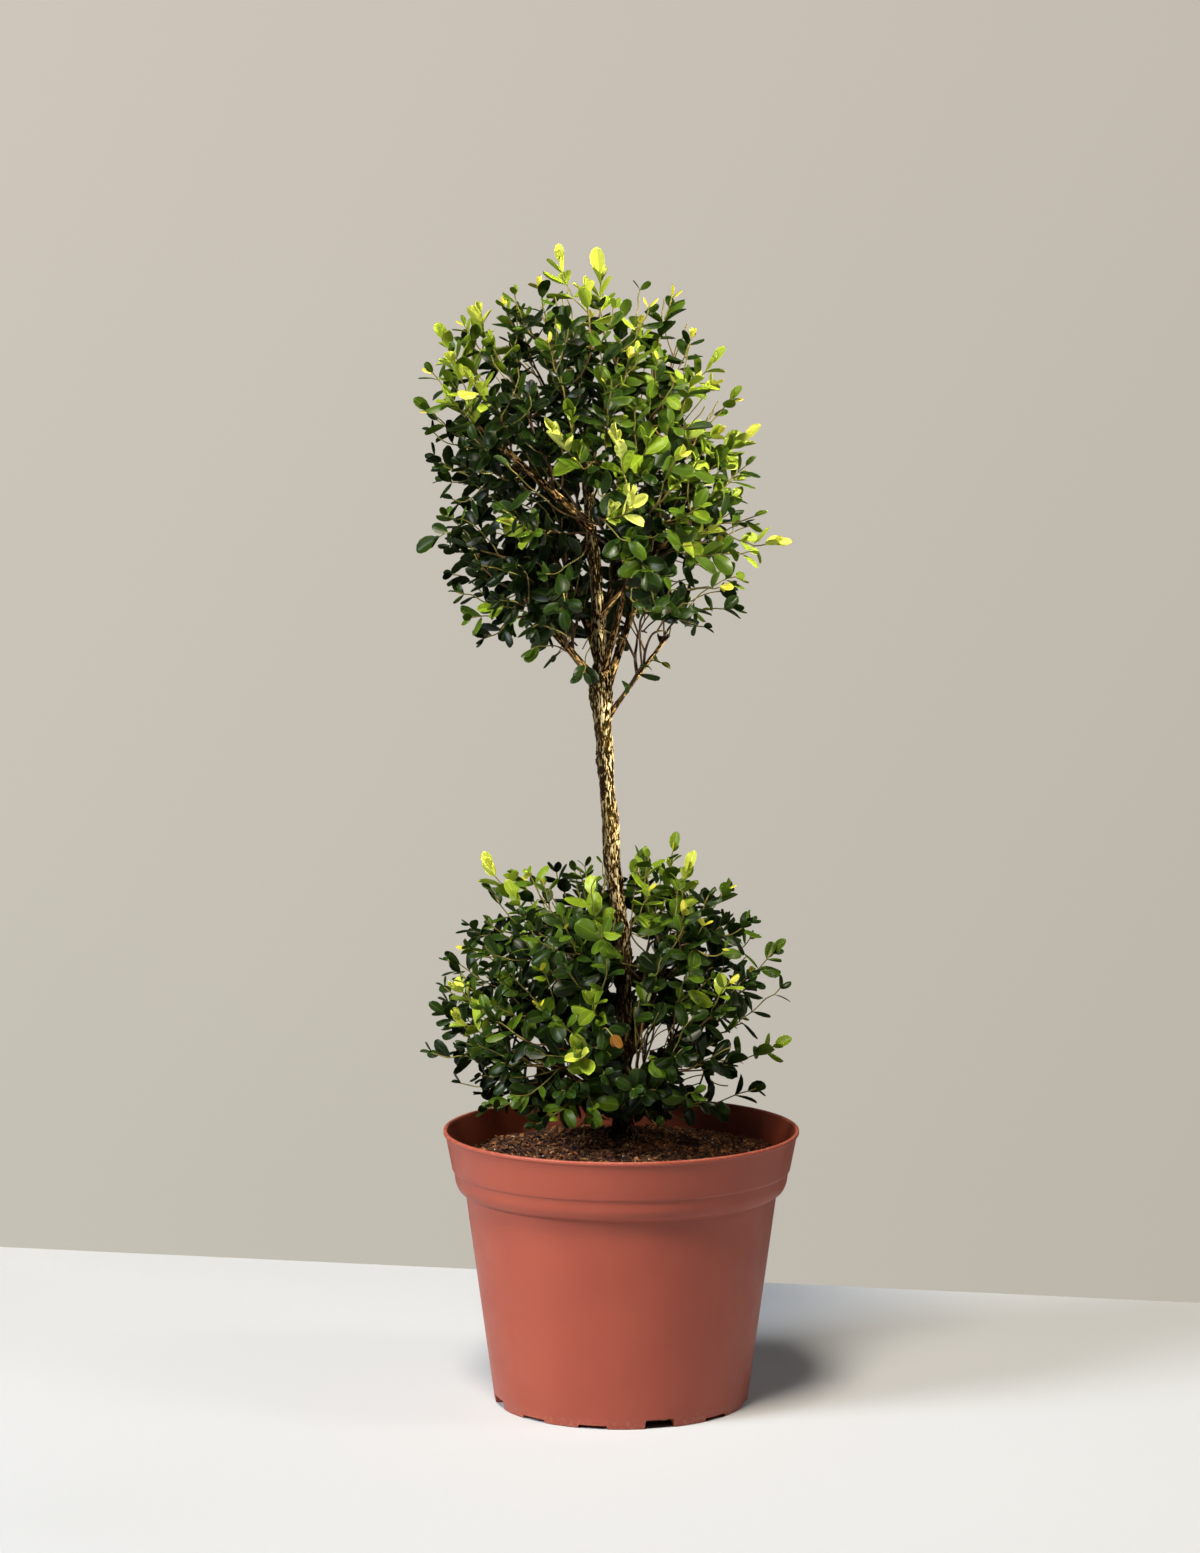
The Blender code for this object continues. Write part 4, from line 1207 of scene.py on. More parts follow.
# %% Repeat the balls' levels and masses
DEPTH_SHARE = 0.95  # how deep a ball is from front to back, of its width
LEVELS = {  # height, how far to the left, how far to the right
    "crown": (
        (520, -62, 38),
        (545, -100, 76),
        (580, -122, 96),
        (620, -128, 100),
        (660, -134, 94),
        (700, -134, 82),
        (740, -122, 64),
        (770, -94, 44),
        (792, -52, 14),
    ),
    "low": (
        (190, -70, 52),
        (205, -98, 78),
        (235, -124, 98),
        (270, -132, 106),
        (310, -127, 109),
        (345, -117, 98),
        (370, -92, 70),
        (385, -60, 44),
    ),
}
MIDDLES = {"crown": Vector((-19, 0, 655)), "low": Vector((-8, 0, 285))}
MASSES = {  # ball, limb, middle
    "crown_top": ("crown", "trunk", (-24, -2, 734)),
    "crown_high_left": ("crown", "bough_high_left", (-90, -8, 688)),
    "crown_low_left": ("crown", "bough_low_left", (-76, -16, 588)),
    "crown_front": ("crown", "bough_front", (-14, -64, 640)),
    "crown_high_right": ("crown", "bough_high_right", (42, 2, 706)),
    "crown_right": ("crown", "bough_right", (56, -6, 628)),
    "crown_low_right": ("crown", "bough_low_right", (36, -12, 556)),
    "crown_back_left": ("crown", "bough_back_left", (-58, 60, 620)),
    "crown_back_right": ("crown", "bough_back_right", (18, 62, 628)),
    "low_left": ("low", "low_bough_left", (-82, -6, 266)),
    "low_front_left": ("low", "low_bough_front_left", (-42, -66, 262)),
    "low_front_right": ("low", "low_bough_front_right", (32, -66, 262)),
    "low_right": ("low", "low_bough_right", (76, -4, 272)),
    "low_back_right": ("low", "low_bough_back_right", (36, 64, 266)),
    "low_back_left": ("low", "low_bough_back_left", (-42, 64, 266)),
    "low_top_left": ("low", "low_bough_inner_left", (-50, -2, 332)),
    "low_top_right": ("low", "low_bough_inner_right", (42, 2, 334)),
}


def masses_of(ball):
    return [name for name in MASSES if MASSES[name][0] == ball]


for ball in LEVELS:
    print(f"{ball}: {len(masses_of(ball))} masses of leaves")

# %% [markdown]
# No two clipped balls have the same outline. So the leaf tips that stand furthest out are listed, with the
# tone of the spray that carries them. Where one large leaf stands at its end, its length follows, and at
# times the way it points.

# %% List the tips that stand out
# Their tones, like the dealt ones, are partly painted light and shade.
REACHES = {  # tip, tone, length of the leaf at its end, the way it points
    "crown": (
        (-43, -6, 810, "young", 13),
        (-15, 2, 808, "young", 19),
        (-25, -30, 789, "young"),
        (-58, -6, 789, "bud"),
        (-76, -4, 785, "fresh"),
        (37, 0, 783, "bud"),
        (20, -30, 776, "bud"),
        (52, -10, 755, "bud"),
        (-101, -4, 771, "young"),
        (-112, -12, 763, "fresh"),
        (-120, -24, 745, "mid"),
        (-84, -8, 777, "fresh"),
        (-68, -20, 770, "mid"),
        (-94, -24, 752, "light"),
        (-127, -14, 756, "light", 14),
        (-141, -16, 706, "mid", 14),
        (-122, -30, 724, "fresh"),
        (-109, -52, 727, "young"),
        (-121, -36, 738, "young"),
        (-124, -34, 714, "light"),
        (-125, -20, 640, "dark"),
        (-140, -22, 597, "dark", 19, (-0.72, -0.1, -0.6)),
        (-136, -10, 730, "mid"),
        (-137, -6, 688, "dark"),
        (-131, -14, 664, "dark"),
        (-130, -8, 628, "mid"),
        (-128, -14, 606, "dark"),
        (-124, -16, 572, "dark"),
        (-114, -20, 553, "mid"),
        (-105, -20, 537, "deep"),
        (-70, -34, 528, "mid"),
        (-28, -46, 510, "dark"),
        (36, -20, 517, "mid"),
        (88, -12, 560, "dark"),
        (117, -12, 609, "young", 13),
        (96, -4, 686, "young", 15),
        (84, -14, 677, "fresh"),
        (94, -12, 664, "mid"),
        (72, -40, 688, "young"),
        (82, -10, 713, "fresh", 13),
        (69, -10, 741, "light", 15),
        (-5, -97, 690, "pale", 13, (-0.14, -0.15, 1.0)),
        (6, -101, 650, "pale", 12, (0.1, -0.1, 1.0)),
        (-6, -96, 634, "pale"),
        (-51, -92, 694, "pale", 15, (-0.4, -0.3, 0.9)),
        (-36, -92, 704, "fresh", 15),
        (-83, -66, 624, "young"),
        (5, -86, 598, "fresh"),
        (-18, -60, 559, "fresh"),
        (67, -54, 618, "young"),
        (-99, -40, 561, "fresh", 14),
        (-16, -108, 650, "mid"),
        (-58, 106, 640, "mid"),
        (16, 104, 650, "mid"),
    ),
    "low": (
        (39, -2, 403, "fresh", 14),
        (50, -10, 391, "young", 16),
        (13, -8, 396, "mid"),
        (-57, -10, 376, "mid"),
        (-96, -8, 390, "young", 13),
        (-1, -100, 266, "old", 10.5, (0.5, -0.2, -0.8)),
        (-79, -20, 372, "light", 15),
        (-112, -4, 346, "dark"),
        (-124, -10, 322, "dark"),
        (-131, -16, 302, "dark"),
        (-128, -4, 270, "dark"),
        (-135, -6, 283, "dark", 14),
        (-122, -26, 303, "young"),
        (-120, -42, 282, "young"),
        (-142, -12, 253, "dark"),
        (-104, -14, 210, "dark"),
        (-66, -70, 208, "dark"),
        (66, -64, 224, "deep"),
        (104, -14, 226, "dark"),
        (119, -10, 259, "fresh", 14),
        (119, -6, 300, "dark"),
        (115, 2, 327, "mid", 13),
        (78, 2, 372, "mid"),
        (-22, -106, 307, "light"),
        (-32, -104, 268, "young"),
        (-60, -92, 300, "bud"),
        (-1, -30, 379, "light"),
        (46, -52, 360, "bud"),
        (60, -50, 352, "bud"),
        (20, -10, 396, "fresh"),
        (-50, 108, 262, "mid"),
        (42, 108, 268, "mid"),
    ),
}
print(f"{sum(map(len, REACHES.values()))} named leaf tips")

# %% [markdown]
# ## How shoots find their ends
# Shoot tips are spread evenly: a random place under the ball's surface is kept only if no other tip is too
# near. Some end deeper inside, because a clipped ball also has old leaves within. Every shoot ends pointing
# outwards and a little up.

# %% Spread the shoot tips
SHOOT_SPACING = 22.6
SHOOT_TRIES = 9000
INNER_SHARE = 0.3
INNER_DEPTHS = (0.35, 0.82)  # of the way from the ball's middle to its surface
OUTER_INSETS = (2.0, 22.0)  # how far under the surface the others end
RISE = 0.7
TIP_LEAF_LENGTH = 10.0  # of the leaf at a named tip that has no length of its own
FARTHEST = 300.0  # no ball reaches so far from its middle
LEAF_ABOVE_SOIL = 1.5
LEAF_INSIDE_RIM = 12.0
SHOOT_ABOVE_SOIL = 6.0
SEED = 47  # all growth is drawn from it


def level_of(ball, height):
    """Middle and half-width of a ball at a height, or None above and below it."""
    for (z0, left0, right0), (z1, left1, right1) in zip(LEVELS[ball], LEVELS[ball][1:]):
        if z0 <= height <= z1:
            t = (height - z0) / (z1 - z0)
            left, right = left0 + (left1 - left0) * t, right0 + (right1 - right0) * t
            return (left + right) / 2, (right - left) / 2
    return None


def in_ball(ball, point, allowance=0.0):
    level = level_of(ball, point.z)
    if level is None:
        return False
    middle, half = level
    half += allowance
    return ((point.x - middle) / half) ** 2 + (point.y / (half * DEPTH_SHARE)) ** 2 <= 1


def surface_distance(ball, way):
    """Distance from a ball's middle to its surface in one direction."""
    near, far = 0.0, FARTHEST
    while far - near > 1:
        probe = (near + far) / 2
        if in_ball(ball, MIDDLES[ball] + way * probe):
            near = probe
        else:
            far = probe
    return near


def mass_of(ball, point):
    """The mass whose space a point of a ball lies in."""
    return min(masses_of(ball), key=lambda name: (point - Vector(MASSES[name][2])).length)


def end_direction(ball, point):
    """The way a shoot points where it ends: outwards and a little up."""
    return ((point - MIDDLES[ball]).normalized() + Vector((0, 0, RISE))).normalized()


def in_pot(point):
    """True where a leaf would touch the soil or the pot's rim."""
    if point.z < soil_height(point.x, point.y) + LEAF_ABOVE_SOIL:
        return True
    near_rim = math.hypot(point.x, point.y) > RIM_RADIUS - LEAF_INSIDE_RIM
    return near_rim and point.z < POT_HEIGHT + LEAF_ABOVE_SOIL


def shoot_ends(ball):
    """Tip, direction, tone and length of the named leaf, for each shoot of a ball, by mass. A shoot that
    isn't listed has no tone yet, and 0 for the length."""
    dice = random.Random(f"{SEED} {ball}")
    ends = {name: [] for name in masses_of(ball)}
    taken = []
    for x, y, z, tone, *large in REACHES[ball]:
        reach = Vector((x, y, z))
        way = Vector(large[1]).normalized() if len(large) > 1 else end_direction(ball, reach)
        length = large[0] if large else TIP_LEAF_LENGTH
        tip = reach - way * length
        ends[mass_of(ball, tip)].append((tip, way, tone, length))
        taken.append(tip)
    for _ in range(SHOOT_TRIES):
        way = Vector([dice.gauss(0, 1) for _ in range(3)]).normalized()
        surface = surface_distance(ball, way)
        if dice.random() < INNER_SHARE:
            tip = MIDDLES[ball] + way * surface * dice.uniform(*INNER_DEPTHS)
        else:
            tip = MIDDLES[ball] + way * (surface - dice.uniform(*OUTER_INSETS))
        if in_pot(tip - Vector((0, 0, SHOOT_ABOVE_SOIL))):
            continue
        if all((tip - other).length > SHOOT_SPACING for other in taken):
            ends[mass_of(ball, tip)].append((tip, end_direction(ball, tip), None, 0.0))
            taken.append(tip)
    return ends


ball_ends = {ball: shoot_ends(ball) for ball in LEVELS}
for ball, ends in ball_ends.items():
    print(f"{ball}: {sum(map(len, ends.values()))} shoot tips")

# %% [markdown]
# ## How twigs branch
# The twigs grow by the solid model's rule, carried finer. The tips are taken in order, the nearest to the
# limb first. Each tries the joints that are there already and grows from the cheapest one: a short way, no
# sharp turn, and not too many twigs at one joint. A twig must keep clear of the trunk and the boughs, so
# those are measured first.

# %% Measure how near the limbs are
LIMB_STEPS = 6


class Limbs:
    """The trunk and boughs as short straight pieces, to keep twigs and leaves out of them."""

    def __init__(self):
        starts, ends, radii = [], [], []
        lines = [[(x, 0.0, z, r) for z, x, r in TRUNK_STATIONS]]
        for name, (_, _, _, foot, tip) in BOUGHS.items():
            path = bough_path(name, LIMB_STEPS)
            lines.append([(*point, foot + (tip - foot) * i / LIMB_STEPS) for i, point in enumerate(path)])
        for line in lines:
            for a, b in zip(line, line[1:]):
                starts.append(a[:3])
                ends.append(b[:3])
                radii.append(max(a[3], b[3]))
        self.starts, self.radii = np.array(starts), np.array(radii)
        self.runs = np.array(ends) - self.starts
        self.squares = (self.runs**2).sum(1)

    def clearance(self, point):
        """Distance from a point to the nearest limb's skin."""
        away = np.array(point) - self.starts
        share = np.clip((away * self.runs).sum(1) / self.squares, 0, 1)
        return (np.linalg.norm(away - self.runs * share[:, None], axis=1) - self.radii).min()


limbs = Limbs()
print(f"limbs measured as {len(limbs.radii)} straight pieces")

# %% Grow the twigs
JOINT_STEPS = 6
ROUTES_TRIED = 8
CROWDING = 7.0  # cost of each twig that a joint bears already
SIDEWAYS_COST = 0.8
LEAST_RUN = 42.0  # a shoot shorter than this costs extra, so most are long
SHORT_COST = 1.6
LEAD_SHARE = 0.45  # how much of a shoot's length already runs in its end direction
LEADER_HEIGHTS = range(580, 685, 8)  # where the trunk bears twigs of its own
BOUGH_JOINTS, FIRST_JOINT = 14, 5  # a bough bears twigs from this joint on
STEM_END = 0.35  # how far a stem runs from its limb to the middle of its mass
STEM_STEPS = 3
WOBBLE = 0.022  # of a twig's length
TWIG_CLEARANCE = 1.2


def route_cost(lines, joint, tip):
    """What a shoot to tip would cost from a joint."""
    own, i, carried = joint
    run = tip - lines[own][i]
    turn = 1 - (lines[own][i] - lines[own][i - 1]).normalized().dot(run.normalized())
    short = max(0.0, LEAST_RUN - run.length) * SHORT_COST
    return run.length * (1 + SIDEWAYS_COST * turn) + short + carried * CROWDING


def wobbled(path, dice):
    """A path whose inner points are moved a little sideways, as a grown twig's are."""
    size = (path[-1] - path[0]).length * WOBBLE
    found = [path[0]]
    for point in path[1:-1]:
        found.append(point + Vector([dice.uniform(-size, size) for _ in range(3)]))
    return found + [path[-1]]


def limb_and_stem(mass):
    """The part of a mass's limb that bears twigs, and a stem from its end towards the mass's middle."""
    _, parent, middle = MASSES[mass]
    if parent == "trunk":
        line = [trunk_point(height)[0] for height in LEADER_HEIGHTS]
    else:
        line = bough_path(parent, BOUGH_JOINTS)[FIRST_JOINT:]
    onward = (line[-1] - line[-2]).normalized()
    heart = line[-1].lerp(Vector(middle), STEM_END)
    control = line[-1] + onward * (heart - line[-1]).length / 2
    return line, bend(line[-1], control, heart, STEM_STEPS)


def grow_mass(mass, ends, dice):
    """The twigs of a mass, as (path, parent twig, joint there, end). The limb itself comes first. A joint is
    the number of its twig, its place on it, and how many twigs it bears."""
    line, stem = limb_and_stem(mass)
    twigs = [(line, None, None, None), (stem, 0, len(line) - 1, None)]
    lines = [line, stem]
    joints = [[0, i, 0] for i in range(1, len(line))] + [[1, i, 0] for i in range(1, len(stem))]
    for tip, way, tone, named in sorted(ends, key=lambda end: (end[0] - line[-1]).length):
        joints.sort(key=lambda joint: route_cost(lines, joint, tip))
        for joint in joints[:ROUTES_TRIED]:
            place = lines[joint[0]][joint[1]]
            lead = tip - way * (tip - place).length * LEAD_SHARE
            path = wobbled(bend(place, lead, tip, JOINT_STEPS), dice)
            if any(limbs.clearance(point) < TWIG_CLEARANCE for point in path[2:]):
                continue
            joint[2] += 1
            joints += [[len(lines), i, 0] for i in range(1, JOINT_STEPS + 1)]
            lines.append(path)
            twigs.append((path, joint[0], joint[1], (way, tone, named)))
            break
    return twigs


twigs_by_mass = {}
for ball in LEVELS:
    for mass, ends in ball_ends[ball].items():
        twigs_by_mass[mass] = grow_mass(mass, ends, random.Random(f"{SEED} {mass}"))
        print(f"{mass}: {len(twigs_by_mass[mass]) - 2} twigs of {len(ends)}")

# %% [markdown]
# ## Where leaves may be
# A leaf keeps inside its ball, off the limbs, the soil and the pot. The larger openings are listed as the
# camera sees them: where the backdrop shows through a ball, and where the trunk or a bough can be seen
# because nothing grows in front of it. The hems say how low the leaves of each ball may hang.

# %% List the openings and the hems
SKY_WINDOWS = {  # how far to the right, height, radius
    "crown": (
        (51, 739, 11),
        (63, 694, 9),
        (-93, 749, 9),
        (-48, 793, 7),
        (2, 508, 9),
        (14, 544, 8),
        (-9, 781, 6),
        (-36, 777, 6),
        (83, 687, 6),
        (-86, 720, 6),
        (57, 569, 6),
        (-65, 777, 6),
        (22, 773, 6),
        (-129, 601, 5),
        (37, 539, 6),
        (-24, 528, 6),
        (83, 608, 5),
        (41, 580, 4),
        (-57, 721, 4),
        (-49, 791, 4),
        (-89, 767, 4),
        (-114, 570, 3),
        (43, 753, 3),
        (47, 602, 3),
    ),
    "low": (
        (91, 218, 12),
        (98, 267, 9),
        (-129, 256, 8),
        (83, 256, 8),
        (28, 391, 6),
        (93, 317, 6),
        (104, 330, 6),
        (-52, 360, 5),
        (72, 224, 6),
        (57, 372, 5),
        (24, 258, 8),
        (15, 322, 5),
        (12, 237, 6),
        (50, 231, 6),
        (-62, 236, 5),
        (-36, 236, 5),
        (89, 233, 5),
        (111, 298, 3),
        (-16, 376, 2),
        (-100, 344, 2),
    ),
}
LIMB_WINDOWS = {  # the same, where nothing grows in front of a limb
    "crown": (
        (-18, 606, 8),
        (-16, 585, 11),
        (-15, 560, 12),
        (-14, 535, 15),
        (2, 552, 9),
        (0, 528, 12),
        (-30, 620, 8),
        (-40, 630, 9),
        (-50, 640, 9),
        (-60, 649, 8),
        (-70, 657, 7),
        (-34, 530, 9),
    ),
    "low": (
        (-3, 372, 7),
        (1, 354, 6),
        (4, 336, 5),
        (6, 318, 5),
        (6, 300, 5),
        (6, 282, 5),
        (6, 264, 4),
        (4, 246, 4),
        (30, 300, 3),
        (34, 268, 4),
    ),
}
HEMS = {  # how far to the right, the lowest height there
    "crown": (
        (-140, 560),
        (-112, 537),
        (-104, 532),
        (-70, 530),
        (-30, 508),
        (20, 504),
        (40, 514),
        (62, 536),
        (92, 562),
        (125, 590),
    ),
    "low": (
        (-140, 240),
        (-120, 218),
        (-102, 209),
        (-70, 198),
        (-30, 196),
        (10, 193),
        (34, 198),
        (52, 206),
        (76, 217),
        (104, 228),
        (125, 246),
    ),
}
print(f"{sum(map(len, SKY_WINDOWS.values()))} openings with the backdrop behind them")

# %% Helpers that say where a leaf may be
OVERHANG = 10.0  # how far a leaf may stand out of its ball
WINDOW_MARGIN = 5.0
LEAF_CLEARANCE = 1.0
MIDDLE_ABOVE_SOIL = 3.0


def seen_from_front(point):
    """Where the camera sees a point, as x and z in the upright plane through the trunk."""
    eye = EYE / MM
    sight = point - eye
    spot = eye + sight * (-eye.y / sight.y)
    return spot.x, spot.z


def in_window(windows, point):
    x, z = seen_from_front(point)
    return any(math.hypot(x - wx, z - wz) < radius + WINDOW_MARGIN for wx, wz, radius in windows)


def under_hem(ball, point):
    """True where a point is seen lower than its ball hangs."""
    x, z = seen_from_front(point)
    return z < np.interp(x, *zip(*HEMS[ball]))


def leaf_fits(ball, root, along, length, named):
    """Whether a leaf may be there. On a named shoot it may stand out of the ball and into an opening."""
    middle, tip = root + along * length * 0.5, root + along * length
    if not named:
        if not in_ball(ball, tip, OVERHANG) or under_hem(ball, middle) or under_hem(ball, tip):
            return False
        if in_window(SKY_WINDOWS[ball], middle):
            return False
    if middle.y < 0 and in_window(LIMB_WINDOWS[ball], middle):
        return False
    if in_pot(tip) or in_pot(middle - Vector((0, 0, MIDDLE_ABOVE_SOIL))):
        return False
    return all(limbs.clearance(root + along * length * share) > LEAF_CLEARANCE for share in (0.5, 0.95))


print("helpers for the leaves' places are ready")

# %% [markdown]
# ## Setting the leaves on the shoots
# Leaves sit in opposite pairs, each pair turned a quarter against the last. They are closest and smallest
# at the tip, where they are still upright, and lie wider open further back. Every leaf turns its face
# towards the light above and outside. Old wood deep inside is bare.

# %% Set out the leaves of one shoot
LEAF_LENGTHS = {"crown": (14.5, 20.0), "low": (14.0, 19.5)}
LENGTH_CHANCE = (0.88, 1.1)  # one leaf's, of what its shoot and pair give
SPRAY_LENGTHS = (16.0, 20.0)  # of the leaves at the named tips with young leaves
SPRAY_PAIRS = 4
PAIR_SIZES = (0.52, 0.80, 0.98, 1.05, 1.05, 1.0, 0.95, 0.9)
PAIR_SPREADS = (17.0, 34.0, 46.0, 54.0, 59.0, 62.0, 64.0, 66.0)  # degrees away from the shoot
SPREAD_CHANCE = 9.0  # up to so much more or less
PAIR_GAPS = (1.0, 5.2, 7.6, 9.0, 9.4, 9.4, 9.4, 9.4)  # where the leaves are of usual length
USUAL_LENGTH = 15.0
LEAF_ROLL = 36.0
LIGHT_PULLS = (0.7, 0.8, 0.6)  # towards the shoot's tip, straight up, and outwards
CUPPED, DOMED, FOLDED, CURLED, FURLED = range(5)  # the leaf blanks that are cut further on
YOUNG_SHAPES = ((FURLED, FOLDED), (CUPPED, FOLDED), (CUPPED, FOLDED, DOMED))  # by rank
OLD_SHAPES = (CUPPED, DOMED, DOMED, DOMED, FOLDED, CURLED, CURLED)
MISSING = {"crown": 0.36, "low": 0.27}  # the share of leaves that aren't there, behind the first pair
SHOWN_TO = Vector((-0.15, -0.75, 0.6))  # the way that large leaves at named tips face


def along_path(path, back):
    """A point so many millimetres back from a path's tip and the way the path runs there, or None past its
    foot."""
    for i in range(len(path) - 1, 0, -1):
        piece = path[i] - path[i - 1]
        if back <= piece.length:
            return path[i] - piece.normalized() * back, piece.normalized()
        back -= piece.length
    return None


def turned_to(along, way):
    """The upper side of a leaf along a line, turned as far as it can be to face a way."""
    return (way - along * way.dot(along)).normalized()


def face_up(along, run, outward, dice):
    """The way a leaf's upper side faces: towards its shoot's tip and the light, rolled about its length."""
    onward, upward, away = LIGHT_PULLS
    light = run * onward + Vector((0, 0, upward)) + outward * away
    up = light - along * light.dot(along)
    if up.length < 0.2:
        up = along.orthogonal()
    roll = math.radians(dice.uniform(-LEAF_ROLL, LEAF_ROLL))
    return Matrix.Rotation(roll, 3, along) @ up.normalized()


def shapes_for(tone, spray, rank):
    """The blanks that a leaf may be. Leaves are furled at a young tip, and all along a pale shoot."""
    if not spray:
        return OLD_SHAPES
    return YOUNG_SHAPES[0 if tone == "pale" else min(rank, 2)]


def shoot_leaves(ball, path, tone, named, pairs, dice):
    """Root, direction, upper side, length, blank and rank of each leaf of a shoot."""
    spray = named and tone in ("young", "light", "pale")
    if spray:
        pairs = SPRAY_PAIRS
    outward = (path[-1] - MIDDLES[ball]).normalized()
    size = dice.uniform(*(SPRAY_LENGTHS if spray and tone != "pale" else LEAF_LENGTHS[ball]))
    quarter = dice.uniform(0, 180)
    back, found = 0.0, []
    if named > TIP_LEAF_LENGTH:
        run = (path[-1] - path[-2]).normalized()
        shape = FURLED if tone == "pale" else CUPPED
        found.append((path[-1], run, turned_to(run, SHOWN_TO), named, shape, 0))
    for rank in range(pairs):
        back += PAIR_GAPS[rank] * size / USUAL_LENGTH
        spot = along_path(path, back)
        if spot is None:
            break
        place, run = spot
        across = Matrix.Rotation(math.radians(quarter + 90 * rank), 3, run) @ run.orthogonal().normalized()
        for side in (-1, 1):
            if rank and not spray and dice.random() < MISSING[ball]:
                continue
            angle = math.radians(PAIR_SPREADS[rank] + dice.uniform(-SPREAD_CHANCE, SPREAD_CHANCE))
            along = (run * math.cos(angle) + across * side * math.sin(angle)).normalized()
            length = size * PAIR_SIZES[rank] * dice.uniform(*LENGTH_CHANCE)
            up = face_up(along, run, outward, dice)
            shape = dice.choice(shapes_for(tone, spray, rank))
            if leaf_fits(ball, place, along, length, named):
                found.append((place, along, up, length, shape, rank))
    return found


print(f"at most {len(PAIR_SIZES)} pairs of leaves on a shoot")

# %% [markdown]
# A tone is dealt to a whole shoot, because the leaves of one shoot are of one age and stand in one light.
# The shoots of a ball are put in order by how far out and how well lit they end, with some chance in it, and
# each tone takes its share of them, so the tones carry painted light and shade as well as the leaves' own
# colour. Along a shoot, the older leaves are darker, partly with age and partly as painted shade, and the
# smallest pair at the tip is often a yellow bud.

# %% Deal the tones
TONES = ("deep", "dark", "mid", "fresh", "light", "young", "pale", "bud", "old")
TONE_SHARES = {"crown": (0.33, 0.30, 0.18, 0.12, 0.06, 0.01), "low": (0.42, 0.33, 0.17, 0.06, 0.02, 0.00)}
TONE_CHANCE = 0.20  # how far chance moves a shoot in the order
BUD_SHARES = {"crown": 0.3, "low": 0.16}
LARGEST_BUD = 9.5
DARKER_BY_RANK = (0.0, 0.4, 0.9, 1.4, 1.8, 2.2, 2.5, 2.8)  # steps down the row of tones, partly for age and partly as painted shade
DARK_TONES_STEP = 0.5  # the dark tones go down by this share of a step
BRIGHT_SIDES = {  # how much it counts to be far out and to be on the bright side, and which side that is
    "crown": (0.45, 0.50, lamp_way(-84, 26)),
    "low": (0.75, 0.35, lamp_way(0, 60)),
}


def deal_tones(ball, shoots):
    """Gives every unnamed shoot a tone: the outer and better lit ones are lighter. A shoot is its path, the
    tone that it already has, and more."""
    dice = random.Random(f"{SEED} tones {ball}")
    outer_weight, side_weight, bright_side = BRIGHT_SIDES[ball]
    scored = []
    for own, (path, *_) in enumerate(shoots):
        away = path[-1] - MIDDLES[ball]
        outer = away.length / max(1.0, surface_distance(ball, away.normalized()))
        lit = away.normalized().dot(bright_side)
        scored.append((outer_weight * outer + side_weight * lit + dice.gauss(0, TONE_CHANCE), own))
    scored.sort()
    tones = [None] * len(shoots)
    for order, (_, own) in enumerate(scored):
        share, index = (order + 0.5) / len(scored), 0
        while share > sum(TONE_SHARES[ball][: index + 1]) and index < len(TONE_SHARES[ball]) - 1:
            index += 1
        tones[own] = shoots[own][1] or TONES[index]
    return tones


def leaf_tone(ball, tone, length, rank, dice):
    """The tone of one leaf of a shoot."""
    index = TONES.index(tone)
    if tone == "pale":
        return "pale" if rank < 3 else "fresh"
    if tone in ("bud", "old"):
        return tone if rank == 0 else "dark"
    may_be_bud = rank == 0 and length < LARGEST_BUD and index >= TONES.index("mid")
    if may_be_bud and dice.random() < BUD_SHARES[ball]:
        return "bud"
    step = DARK_TONES_STEP if index < TONES.index("fresh") else 1.0
    index -= round(DARKER_BY_RANK[rank] * step + dice.uniform(-0.5, 0.5))
    return TONES[min(max(index, 0), TONES.index("young"))]


print(f"{len(TONES)} tones of leaf")

# %% [markdown]
# A shoot that ends the line has five to eight pairs of leaves, and one that carries others has four. A shoot
# that finds room for no more than one leaf is left out, and so is every twig that then carries nothing.

# %% Leaf out the balls
END_PAIRS = (5, 6, 7, 8)
CARRYING_PAIRS = 4


def carried_shoots(twigs, kept=None):
    """How many shoots hang on each point of each twig, itself included."""
    load = [[1] * len(path) for path, _, _, _ in twigs]
    for own in range(len(twigs) - 1, 0, -1):
        if kept and not kept[own]:
            continue
        _, parent, joint, _ = twigs[own]
        for i in range(joint + 1):
            load[parent][i] += load[own][0]
    return load


def ball_leaves(ball):
    """All the leaves of a ball, by tone, and which twigs of each mass bear or carry any."""
    dice = random.Random(f"{SEED} leaves {ball}")
    shoots, kept = [], {}
    for mass in masses_of(ball):
        twigs = twigs_by_mass[mass]
        load = carried_shoots(twigs)
        kept[mass] = [end is None for _, _, _, end in twigs]
        for own, (path, _, _, end) in enumerate(twigs):
            if end:
                _, tone, named = end
                shoots.append((path, tone, named, load[own][-1], mass, own))
    leaves = {tone: [] for tone in TONES}
    for tone, (path, _, named, carried, mass, own) in zip(deal_tones(ball, shoots), shoots):
        pairs = dice.choice(END_PAIRS) if carried == 1 else CARRYING_PAIRS
        found = shoot_leaves(ball, path, tone, named, pairs, dice)
        kept[mass][own] = len(found) > 1
        for leaf in found if kept[mass][own] else []:
            leaves[leaf_tone(ball, tone, leaf[3], leaf[-1], dice)].append(leaf)
    for mass, marks in kept.items():
        for own in range(len(marks) - 1, 0, -1):
            if marks[own]:
                marks[twigs_by_mass[mass][own][1]] = True
    return leaves, kept


